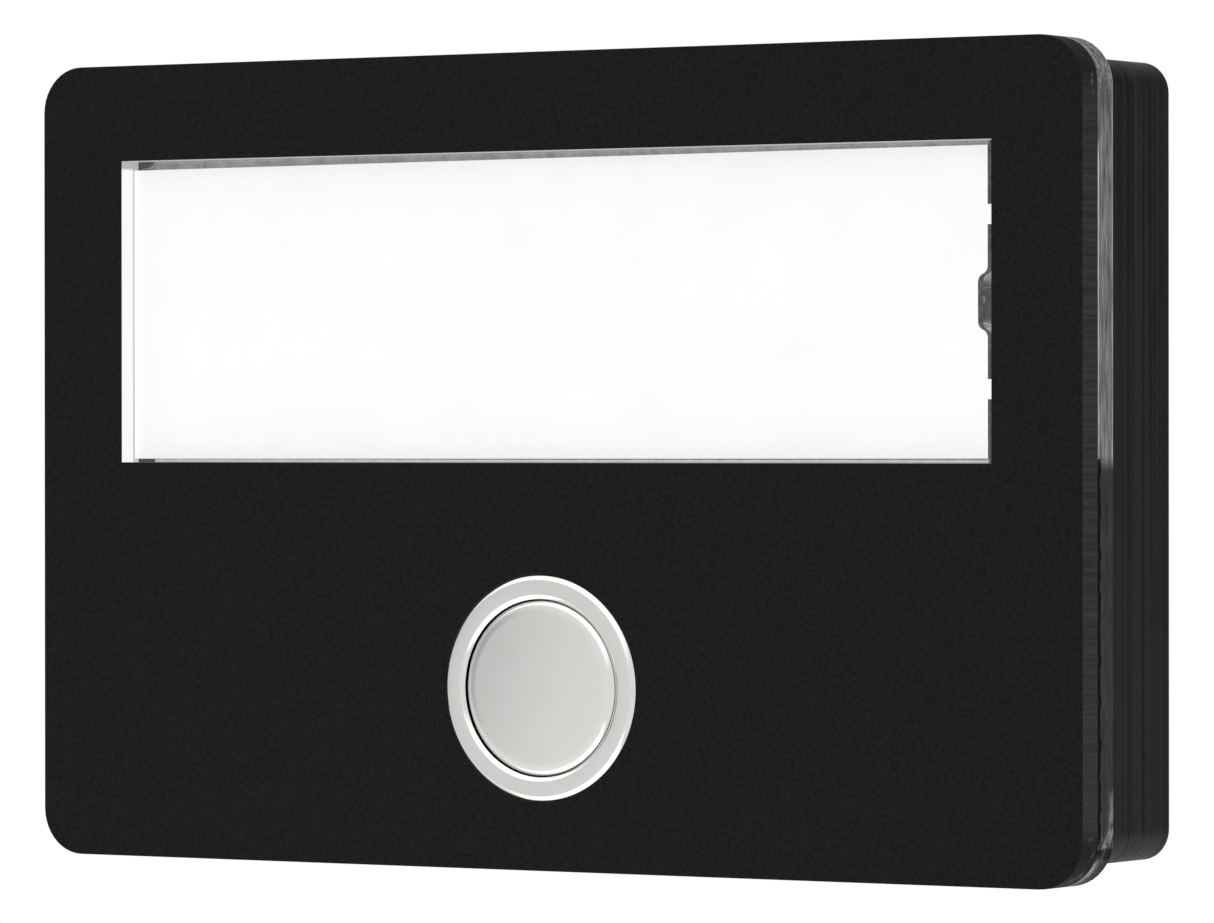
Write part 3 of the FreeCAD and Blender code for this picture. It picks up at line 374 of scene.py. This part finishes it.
WINDOW_Z = 15.1
board_white = Finish("board_white", Coat_Weight=0.4, Coat_Roughness=0.15)
wide, tall = board_white.along("X"), board_white.along("Z")
supply = board_white.line(board_white.folded(tall - WINDOW_Z, 7.6), 5.5, 0.6, 0.05)
feeders = board_white.line(board_white.folded(wide, 8.39), 4.2, 0.45, 0.05)
copper = board_white.rise(supply + feeders, 0.3, 0.7)
board_white.paint(copper, (0.80, 0.81, 0.78), (0.70, 0.70, 0.64))
board_white.put("Roughness", 0.34 + board_white.noise(0.25) * 0.15)
board_white.relief(copper, 0.035)
dress(board_white, "led_board")

led_lens = Finish("led_lens", Emission_Strength=1.0, Coat_Weight=0.5)
phosphor = led_lens.noise(0.15, detail=3.0)
led_lens.paint(phosphor, (0.86, 0.78, 0.36), (0.95, 0.90, 0.62))
led_lens.put("Roughness", 0.3 + phosphor * 0.2)
led_lens.put("Emission Color", led_lens.tint(phosphor, (0.8, 0.78, 0.7), (1.0, 0.98, 0.92)))
dress(led_lens, "leds")

chip_black = Finish("chip_black", Specular_IOR_Level=0.4)
moulded = chip_black.noise(0.09, detail=3.0)
chip_black.paint(moulded, 0.016, 0.042)
chip_black.put("Roughness", 0.4 + moulded * 0.25)
chip_black.relief(moulded, 0.01)
dress(chip_black, "led_resistors", "bridge_rectifier")

chip_tan = Finish("chip_tan", Specular_IOR_Level=0.4)
pressed = chip_tan.noise(0.12, detail=3.0)
end_band = chip_tan.noise(2.0)
chip_tan.paint(pressed * 0.7 + end_band * 0.3, (0.50, 0.31, 0.07), (0.68, 0.47, 0.16))
chip_tan.put("Roughness", 0.4 + pressed * 0.2)
dress(chip_tan, "smoothing_capacitor")


# --------------------------------------------------------------------------------------------- leads
# Two red leads feed the lamps and two grey leads join the switch to the terminals. Their soft
# insulation has faint rings from the extruder.
lead_red = Finish("lead_red", Specular_IOR_Level=0.5)
rings = lead_red.noise(0.18, detail=2.0)
lead_red.paint(rings, (0.36, 0.018, 0.014), (0.58, 0.035, 0.028))
lead_red.put("Roughness", 0.34 + rings * 0.15)
lead_red.relief(rings, 0.01)
dress(lead_red, "lamp_leads")

lead_grey = Finish("lead_grey", Specular_IOR_Level=0.5)
ripple = lead_grey.noise(0.18, detail=2.0)
lead_grey.paint(ripple, (0.18, 0.18, 0.19), (0.30, 0.30, 0.31))
lead_grey.put("Roughness", 0.36 + ripple * 0.15)
lead_grey.relief(ripple, 0.01)
dress(lead_grey, "switch_leads")


# ------------------------------------------------------------------------------------------ adhesives
# Black double-sided sheet between the plates and a frame of black tape between plate and casing.
# Their cut edges are dull and slightly ragged.
bond_black = Finish("bond_black", Specular_IOR_Level=0.2)
ragged = bond_black.noise(0.2, stretch=(1, 1, 2), detail=3.0)
bond_black.paint(ragged, 0.003, 0.012)
bond_black.put("Roughness", 0.65 + ragged * 0.2)
bond_black.relief(ragged, 0.03)
dress(bond_black, "bond_sheet", "shell_tape")


# --------------------------------------------------------------------------------------- carrier plate
# Rear plate, 3 mm clear acrylic cut by laser, near-black in colour. The light it carries sideways from the
# window is
# painted on as glow: on its edge beside the window, brightest at the glue line, faint and smoky elsewhere
# with painted highlights in a low streak and round the corners, and on its face in the gaps round the name
# strip. The ragged open joint gets no painted glow.
WINDOW_REACH = 50.6
carrier_clear = Finish("carrier_clear", Specular_IOR_Level=0.1, Emission_Strength=1.0)
side, level, height = carrier_clear.along("X"), 0 - carrier_clear.along("Y"), carrier_clear.along("Z")
smears_and_glow_patches = carrier_clear.noise(1.3, stretch=(1, 0.6, 1), detail=5.0)
chatter_and_glow = carrier_clear.noise(0.45, stretch=(1, 0.5, 1), detail=3.0)
glow_streaks = carrier_clear.noise(0.45, stretch=(8, 1, 9), detail=3.0)
across = (level - 15.9) / 3.0 + (smears_and_glow_patches - 0.5) * 0.10
below = 0 - height
at_side = carrier_clear.rise(carrier_clear.facing("X"), 0.80, 0.98)
# painted light on the edge beside the window: a streaked glow, brighter in a band at the glue line and a thin
# one at the rear
beside_window = carrier_clear.rise(height, -1.0, 0.8) * (1 - carrier_clear.rise(height, 29.5, 36.0) * 0.35)
glue_line_glow = carrier_clear.rise(across, 0.88, 0.94) * (1 - carrier_clear.rise(height, 28.5, 30.5))
rear_line_glow = 1 - carrier_clear.rise(across, 0.02, 0.12)
lit = 0.12 + (glow_streaks - 0.5) * 0.42 + glue_line_glow * 0.34 + rear_line_glow * 0.14
# painted highlight: a bright streak along the lower part of the edge, over a faint painted smoky glow on the
# rest of the edge
low_highlight_place = 0.10 + carrier_clear.rise(below, 34.0, 38.0) * 0.75
low_edge_highlight = carrier_clear.line(across - low_highlight_place, 0, 0.08, 0.20) * carrier_clear.rise(below, 29.0, 34.5)
plain_edge_glow = 0.012 + (glow_streaks - 0.5) * 0.05 + low_edge_highlight * carrier_clear.rise(smears_and_glow_patches, 0.30, 0.60) * 0.19
# painted highlights: mottled patches round the corners, brighter towards the glue line
corner = carrier_clear.rise(abs(height), 34.0, 37.0)
junction = carrier_clear.rise(across, 0.78, 0.9) * (1 - at_side)
corner_highlight_mottle = corner * (carrier_clear.rise(chatter_and_glow, 0.40, 0.62) * 0.15 + junction * smears_and_glow_patches * 0.22 - 0.02)
flat = carrier_clear.facing("Y")
# the open joint gets the darkest colour and no painted glow: painted shade over its real pressed-in gap
set_back = at_side * (1 - carrier_clear.rise(abs(side), 59.86, 59.92))
ledge = flat * carrier_clear.rise(abs(side), 59.5, 59.6)
open_joint = (set_back + ledge) * carrier_clear.rise(below, -0.6, 0.2)
edge_light = beside_window * lit + plain_edge_glow + corner_highlight_mottle
# painted light on the plate's face in the gaps round the name strip: grey and patchy above and below the
# strip, dim beside it
in_notch = carrier_clear.line(height, WINDOW_Z, 3.9, 0.4) * carrier_clear.rise(side, 46.3, 46.7)
at_strip = carrier_clear.line(side, 0, 48.2, 0.3) * (1 - in_notch)
off_middle = abs(height - WINDOW_Z)
# painted light and shade round the strip's finger notch: brighter bands at its ends
notch_end_glow = carrier_clear.rise(off_middle, 1.4, 2.6) * (1 - carrier_clear.rise(off_middle, 3.2, 3.8))
# painted glints on fine scratches
scratch_glints = carrier_clear.line(carrier_clear.noise(2.2, detail=1.0), 0.55, 0.004, 0.012)
# painted highlights along the top and bottom edges of the window
top_glow = carrier_clear.rise(height, 30.05, 30.3) * 0.10
wall_glow = top_glow + carrier_clear.line(height, 0.0, 0.10, 0.06) * 0.30
lamp_zone = carrier_clear.line(height, WINDOW_Z, 15.0, 0.6) * carrier_clear.line(side, 0, WINDOW_REACH, 0.3)
under_gap_light = 0.13 + smears_and_glow_patches * 0.22 + (chatter_and_glow - 0.5) * 0.16 + wall_glow
beside_strip_light = 0.02 + chatter_and_glow * 0.08 + notch_end_glow * 0.20 + scratch_glints * 0.16
gap_light = (beside_strip_light + at_strip * (under_gap_light - beside_strip_light)) * lamp_zone + 0.01
# near-black colour, darkest in the open joint as painted shade
carrier_clear.paint((smears_and_glow_patches * 0.6 + chatter_and_glow * 0.4) * (1 - open_joint), 0.001, 0.034)
carrier_clear.put("Roughness", 0.30 + chatter_and_glow * 0.3 + corner * 0.3)
# painted light: glow on the edges and gap light on the flat faces, none in the open joint
light = (edge_light * (1 - flat) + flat * gap_light) * (1 - open_joint)
carrier_clear.put("Emission Color", carrier_clear.tint(light, 0.0, 1.0))
carrier_clear.relief(chatter_and_glow + smears_and_glow_patches, 0.02)
shape = from_cad("carrier_plate")
# the glue stops short along the lower half of the sides, which leaves a ragged open joint
JOINT_TOP, JOINT_LENGTH, JOINT_STEPS = 0.2, 35.6, 36
JOINT_LEVEL, JOINT_LEDGE, JOINT_DEEP, JOINT_RAGGED = 18.42, 0.04, 0.35, 0.2
JOINT_SIDE, NEAR = 59.9, 0.01
places = [JOINT_TOP - JOINT_LENGTH * step / JOINT_STEPS for step in range(JOINT_STEPS + 1)]
for place in [places[0] + 0.1] + places + [places[-1] - 0.1]:
    slice_at(shape, (0, 0, place / 1000), (0, 0, 1))
for level_now in (JOINT_LEVEL, JOINT_LEVEL + JOINT_LEDGE):
    slice_at(shape, (0, -level_now / 1000, 0), (0, 1, 0))
for vertex in shape.verts:
    place, level_now = vertex.co.z * 1000, -vertex.co.y * 1000
    along_joint = places[-1] - NEAR < place < places[0] + NEAR
    if abs(vertex.co.x) > JOINT_SIDE / 1000 and along_joint and level_now > JOINT_LEVEL - NEAR:
        if level_now > JOINT_LEVEL + JOINT_LEDGE / 2:
            vertex.co.x -= math.copysign(JOINT_DEEP / 1000, vertex.co.x)
        if level_now < JOINT_LEVEL + 0.1:
            vertex.co.y += math.sin(place * 2.3) * math.sin(place * 0.9) * JOINT_RAGGED / 1000
made_piece("carrier_plate_cut", shape, carrier_clear, "housing", "clear_plate", "carrier_plate")


# ----------------------------------------------------------------------------------------- front plate
# Front plate, 2.9 mm clear acrylic with the window and the push's hole cut through by laser. Over its black
# film the edge is near-black with a faint painted smoky glow, fine beam marks straight across it and painted
# highlights in patches round the corners, and the window's cut walls carry painted light.
front_clear = Finish("front_clear", Specular_IOR_Level=0.08, Emission_Strength=1.0)
side, level, height = front_clear.along("X"), 0 - front_clear.along("Y"), front_clear.along("Z")
beam_marks_and_glow = front_clear.noise(0.24, stretch=(1, 60, 1), detail=2.0)
haze_and_glow = front_clear.noise(1.2, detail=5.0)
light_specks = front_clear.noise(0.16, detail=2.0)
at_side = front_clear.rise(front_clear.facing("X"), 0.88, 0.99)
corner = front_clear.rise(abs(height) + (haze_and_glow - 0.5) * 4.0, 34.0, 36.5)
# painted light: a faint smoky glow on the edge, patterned by the beam marks and fainter round the corners
smoky_edge_glow = (beam_marks_and_glow * 0.030 + haze_and_glow * 0.010 - 0.002) * (1 - corner * 0.8)
# painted highlights: specks on the end edges and mottled patches round the corners
end_speck_glints = (1 - at_side) * front_clear.rise(light_specks, 0.6, 0.7) * 0.02
corner_patch_glints = corner * front_clear.rise(haze_and_glow, 0.55, 0.70) * 0.05 + end_speck_glints
inside = front_clear.line(side, 0, WINDOW_REACH, 0.2) * front_clear.line(height, WINDOW_Z, 15.4, 0.2)
over_strip = front_clear.rise(height, 29.35, 29.75)
above_face = front_clear.rise(level, 19.85, 20.05)
# painted light on the window's cut walls: end walls bright above the strip's face, dimmer and speckled above
# the strip, long walls dim and speckled
end_wall_light = 0.55 + above_face * 0.38 - over_strip * (0.22 + above_face * 0.36) + over_strip * light_specks * 0.2
long_wall_light = 0.16 + light_specks * 0.55
wall_light = long_wall_light + front_clear.facing("X") * (end_wall_light - long_wall_light)
front_clear.paint(beam_marks_and_glow * 0.6 + haze_and_glow * 0.4, 0.002, 0.014)
front_clear.put("Roughness", 0.30 + beam_marks_and_glow * 0.25 + corner * 0.35)
light = smoky_edge_glow + corner_patch_glints + inside * (wall_light - smoky_edge_glow - corner_patch_glints)
front_clear.put("Emission Color", front_clear.tint(light, 0.0, 1.0))
front_clear.relief(beam_marks_and_glow, 0.012)
shape = from_cad("front_plate")
made_piece("front_plate_cut", shape, front_clear, "housing", "clear_plate", "front_plate")


# ------------------------------------------------------------------------------------------- face film
# Black film on the front, matt with a fine leathery grain that scatters the light evenly.
face_black = Finish("face_black", Specular_IOR_Level=0.06)
grain = face_black.noise(0.26, detail=1.0)
drift = face_black.noise(30.0, detail=2.0)
face_black.paint(face_black.rise(grain, 0.30, 0.70) * 0.8 + drift * 0.2, 0.0045, 0.0100)
face_black.put("Roughness", 0.62 + grain * 0.15)
face_black.relief(grain, 0.012)
dress(face_black, "face_film")


# ------------------------------------------------------------------------------------------ name strip
# Loose white strip in the window, lit from behind, with two tabs and a finger notch at its right end.
# It is cut from satin sheet that spreads the light almost evenly. That light is painted on as an even glow, a
# little brighter at the left end, and the cut edges are painted dark as shade with only a faint glow.
strip_white = Finish("strip_white", Specular_IOR_Level=0.35, Emission_Strength=1.0)
clouding_and_glow = strip_white.noise(7.0, detail=4.0)
satin = strip_white.noise(0.12, detail=1.0)
cut_edge = 1 - strip_white.facing("Y")
edge_shade_and_light = strip_white.noise(0.5, detail=4.0)
# painted shade: the cut edges get a dark colour
strip_white.paint(cut_edge, strip_white.tint(clouding_and_glow, 0.34, 0.36), strip_white.tint(edge_shade_and_light, 0.02, 0.16))
strip_white.put("Roughness", 0.5 + satin * 0.1)
# painted light: an almost even glow on the faces, brighter towards the left end, and a faint one on the cut
# edges
strip_lit = 0.54 + clouding_and_glow * 0.02 + strip_white.rise(0 - strip_white.along("X"), 48.7, 50.2) * 0.08
edge_lit = edge_shade_and_light * 0.10 - 0.01
strip_white.put("Emission Color", strip_white.tint(strip_lit + cut_edge * (edge_lit - strip_lit), 0.0, 1.0))
strip_white.relief(satin, 0.004)
TAB_START, TAB_ROUND = 50.1, 0.4
shape = from_cad("name_insert")
tab_corners = [
    edge for edge in shape.edges
    if all(end.co.x > TAB_START / 1000 for end in edge.verts)
    and abs(edge.verts[0].co.y - edge.verts[1].co.y) > 5e-4
]
soften(shape, tab_corners, TAB_ROUND)
made_piece("name_insert_strip", shape, strip_white, "strip", "strip_white", "name_insert")


# ------------------------------------------------------------------------------------------------ push
# Round metal push. Barrel and cap are turned steel: satin faces with polished bevels, and the cap is
# very slightly domed. A nut behind the carrier plate clamps the barrel, and a spring lifts the cap.
PUSH_Z = -22.15
PUSH_FACE = 22.3


def turned(points, steps=128):
    """Spin a profile of (radius, level) points, in millimetres, round the push's axis."""
    shape = bmesh.new()
    ring = [shape.verts.new((radius / 1000, -level / 1000, PUSH_Z / 1000)) for radius, level in points]
    edges = [shape.edges.new(pair) for pair in zip(ring, ring[1:])]
    if points[0][0] > 0:
        edges.append(shape.edges.new((ring[-1], ring[0])))
    bmesh.ops.spin(
        shape, geom=ring + edges, cent=(0, 0, PUSH_Z / 1000), axis=(0, 1, 0),
        angle=math.tau, steps=steps, use_merge=True,
    )
    bmesh.ops.remove_doubles(shape, verts=shape.verts, dist=2e-6)
    bmesh.ops.recalc_face_normals(shape, faces=shape.faces)
    return shape


push_metal = Finish("push_metal", Metallic=1.0)
from_axis = (push_metal.along("X") ** 2.0 + (push_metal.along("Z") - PUSH_Z) ** 2.0) ** 0.5
level = 0 - push_metal.along("Y")
polished = 1 - push_metal.rise(push_metal.facing("Y"), 0.93, 0.99)
lathe = push_metal.noise(0.05, detail=2.0)
hairs = push_metal.noise(0.10, stretch=(14, 1, 1), detail=2.0)
smudge = push_metal.noise(4.0, detail=3.0)
# painted shadow: the walls of the narrow gap between cap and barrel are painted near-black below the face
gap_shade = push_metal.line(from_axis, 8.65, 0.11, 0.02) * (1 - push_metal.rise(level, 21.55, 21.8))
bright = push_metal.tint(hairs * 0.4 + smudge * 0.6, (0.66, 0.655, 0.64), (0.72, 0.715, 0.70))
push_metal.paint(gap_shade, bright, 0.02)
push_metal.put("Roughness", 0.17 + hairs * 0.05 + smudge * 0.05 - polished * 0.14)
push_metal.relief((hairs + lathe) * (1 - polished), 0.002)

CAP_EDGE, BORE, RIM = 8.55, 8.70, 11.0
STEM, GUIDE, BARREL, THREAD_ROOT = 6.45, 6.5, 9.5, 9.15
SEAL_ROOT, CLIP_ROOT, REAR_BORE = 5.25, 5.2, 7.6
CAP_BACK, FLANGE_BACK, GUIDE_FRONT, GUIDE_BACK = 20.1, 19.7, 16.0, 13.0
SEAL_TOP, SEAL_LOW, CLIP_LOW, STEM_END, BARREL_END = 15.4, 14.2, 12.3, 12.0, 9.0
THREAD_TOP, THREAD_TURNS = 15.9, 6
CROWN, CROWN_AT_BEVEL = 0.16, 0.88
BEVEL_SHAPE = ((0.45, 0.0), (0.40, 0.02), (0.04, 0.24), (0.0, 0.29))
crown = [(radius, PUSH_FACE - CROWN * (radius / CAP_EDGE) ** 2) for radius in (0.0, 1.6, 3.2, 4.8, 6.4, 7.4)]
bevel = [(CAP_EDGE - inward, PUSH_FACE - CROWN * CROWN_AT_BEVEL - down) for inward, down in BEVEL_SHAPE]
stem = [(CAP_EDGE, CAP_BACK), (STEM, CAP_BACK), (STEM, SEAL_TOP), (SEAL_ROOT, SEAL_TOP)]
stem += [(SEAL_ROOT, SEAL_LOW), (STEM, SEAL_LOW), (STEM, GUIDE_BACK)]
groove = [(CLIP_ROOT, GUIDE_BACK), (CLIP_ROOT, CLIP_LOW), (STEM, CLIP_LOW), (STEM, STEM_END), (0.0, STEM_END)]
shape = turned(crown + bevel + stem + groove)
made_piece("button_cap_turned", shape, push_metal, "push", "push_metal", "button_cap")

flange = [(RIM - inward, PUSH_FACE - down) for inward, down in BEVEL_SHAPE]
flange += [(RIM, FLANGE_BACK), (BARREL, FLANGE_BACK)]
thread = []
for turn in range(THREAD_TURNS):
    top = THREAD_TOP - turn
    thread += [(BARREL, top - 0.2), (THREAD_ROOT, top - 0.5), (BARREL, top - 0.8)]
rear = [(BARREL, BARREL_END), (REAR_BORE, BARREL_END), (REAR_BORE, GUIDE_BACK)]
rear += [(GUIDE, GUIDE_BACK), (GUIDE, GUIDE_FRONT), (BORE, GUIDE_FRONT)]
lip = [(BORE + inward, PUSH_FACE - down) for inward, down in reversed(BEVEL_SHAPE)]
shape = turned(flange + thread + rear + lip)
made_piece("button_barrel_turned", shape, push_metal, "housing", "push_metal", "button_barrel")
dress(nut_metal, "barrel_nut", "cap_clip", "switch_terminals", "contact_bridge")

spring_steel = Finish("spring_steel", Metallic=1.0)
wire_marks = spring_steel.noise(0.06, detail=3.0)
spring_steel.paint(wire_marks, (0.40, 0.40, 0.41), (0.60, 0.60, 0.60))
spring_steel.put("Roughness", 0.22 + wire_marks * 0.15)
WIRE_RADIUS, COIL_RADIUS = 0.3, 7.4
COIL_START, COIL_RISE, COIL_TURNS, COIL_STEPS = 16.31, 3.48, 3, 144
shape = bmesh.new()
wire = bmesh.ops.create_circle(
    shape, cap_ends=False, radius=WIRE_RADIUS / 1000, segments=12,
    matrix=Matrix.Translation((COIL_RADIUS / 1000, -COIL_START / 1000, PUSH_Z / 1000)),
)
spun = list(wire["verts"]) + list(shape.edges)
bmesh.ops.spin(
    shape, geom=spun, cent=(0, 0, PUSH_Z / 1000), axis=(0, 1, 0),
    dvec=(0, -COIL_RISE / 1000 / COIL_STEPS, 0), angle=math.tau * COIL_TURNS, steps=COIL_STEPS,
)
bmesh.ops.holes_fill(shape, edges=[edge for edge in shape.edges if edge.is_boundary])
bmesh.ops.recalc_face_normals(shape, faces=shape.faces)
spring = made_piece("return_spring_coil", shape, spring_steel, "housing", "screw_steel", "return_spring")
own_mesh(spring)

switch_plastic = Finish("switch_plastic", Specular_IOR_Level=0.4)
knit = switch_plastic.noise(0.8, detail=4.0)
switch_plastic.paint(knit, 0.026, 0.062)
switch_plastic.put("Roughness", 0.42 + knit * 0.2)
switch_plastic.relief(knit, 0.01)
dress(switch_plastic, "switch_body")

plunger_white = Finish("plunger_white", Specular_IOR_Level=0.5)
sheen = plunger_white.noise(0.6, detail=3.0)
plunger_white.paint(sheen, 0.72, 0.84)
plunger_white.put("Roughness", 0.35 + sheen * 0.15)
dress(plunger_white, "plunger")


# ---------------------------------------------------------------------------------------------- studio
# A pale floor well below the object, a white room round it and one low lamp. The room is darker at the
# left, left of the front and behind on the right, and brighter high and low, which bands the metal.
FLOOR_Z, FLOOR_RADIUS = -0.30, 2.2
floor_pale = Finish("floor_pale", Specular_IOR_Level=0.1)
floor_pale.paint(floor_pale.noise(400.0), 0.90, 0.93)
floor_pale.put("Roughness", 0.9)
shape = bmesh.new()
bmesh.ops.create_circle(
    shape, cap_ends=True, radius=FLOOR_RADIUS, segments=96, matrix=Matrix.Translation((0, 0, FLOOR_Z))
)
mesh = bpy.data.meshes.new("floor")
shape.to_mesh(mesh)
shape.free()
mesh.materials.append(floor_pale.material)
floor = bpy.data.objects.new("floor", mesh)
bpy.context.scene.collection.objects.link(floor)

room = bpy.data.worlds.new("room")
room.use_nodes = True
bpy.context.scene.world = room
tree = room.node_tree
background = tree.nodes["Background"]


def room_node(kind, settings, sockets, output=0):
    made = tree.nodes.new("ShaderNode" + kind)
    for name, value in settings.items():
        setattr(made, name, value)
    for name, value in sockets.items():
        if isinstance(value, bpy.types.NodeSocket):
            tree.links.new(value, made.inputs[name])
        else:
            made.inputs[name].default_value = value
    return made.outputs[output]


# each zone has a direction, how squarely a ray looks along it where the zone is full and where it ends,
# and how much brighter than the white room it is
ZONES = (
    ((-0.71, -0.70, 0.05), 0.993, 0.968, -0.58),
    ((-0.98, 0.20, 0.0), 0.96, 0.88, -0.82),
    ((0.53, 0.85, 0.0), 0.93, 0.55, -0.85),
    ((0.13, -0.73, 0.67), 0.94, 0.80, 0.50),
    ((0.13, -0.73, -0.67), 0.94, 0.80, 0.50),
    ((-0.45, -0.30, 0.84), 0.94, 0.75, 0.50),
    ((-0.45, -0.30, -0.84), 0.94, 0.75, 0.50),
)
direction = room_node("TexCoord", {}, {}, "Generated")
brightness = 1.0
for toward, full, end, gain in ZONES:
    squarely = room_node("VectorMath", {"operation": "DOT_PRODUCT"}, {0: direction, 1: toward}, "Value")
    within = room_node(
        "MapRange", {"interpolation_type": "SMOOTHSTEP"},
        {"Value": squarely, "From Min": end, "From Max": full, "To Max": gain},
    )
    brightness = room_node("Math", {"operation": "ADD"}, {0: brightness, 1: within})
seen = room_node("LightPath", {}, {}, "Is Camera Ray")
strength = room_node("Mix", {}, {0: seen, 2: brightness, 3: 1.0})
tree.links.new(strength, background.inputs["Strength"])
background.inputs["Color"].default_value = (1, 1, 1, 1)

# A low lamp before the object lights the bevels along the bottom of the push.
lamp = bpy.data.lights.new("low_lamp", "AREA")
lamp.shape, lamp.size, lamp.size_y, lamp.energy = "RECTANGLE", 0.42, 0.28, 0.22
low_lamp = bpy.data.objects.new("low_lamp", lamp)
low_lamp.visible_camera = False
bpy.context.scene.collection.objects.link(low_lamp)
lamp_turn = Matrix.Rotation(math.radians(-12), 4, "Z") @ Matrix.Rotation(math.radians(145), 4, "X")
low_lamp.matrix_world = Matrix.Translation((-0.05, -0.17, -0.24)) @ lamp_turn

bpy.context.scene.view_settings.view_transform = "Standard"

# The camera stands to the right of the front and level with the middle of the object.
AZIMUTH, PITCH, ROLL = math.radians(32.105), math.radians(0.188), math.radians(-0.045)
CAMERA_PLACE, LENS = (0.37692, -0.61039, 0.00227), 212.28
lens = bpy.data.cameras.new("camera")
lens.lens = LENS
camera = bpy.data.objects.new("camera", lens)
bpy.context.scene.collection.objects.link(camera)
turn = Matrix.Rotation(AZIMUTH, 4, "Z") @ Matrix.Rotation(math.radians(90) - PITCH, 4, "X")
turn = turn @ Matrix.Rotation(ROLL, 4, "Z")
camera.matrix_world = Matrix.Translation(CAMERA_PLACE) @ turn
bpy.context.scene.camera = camera
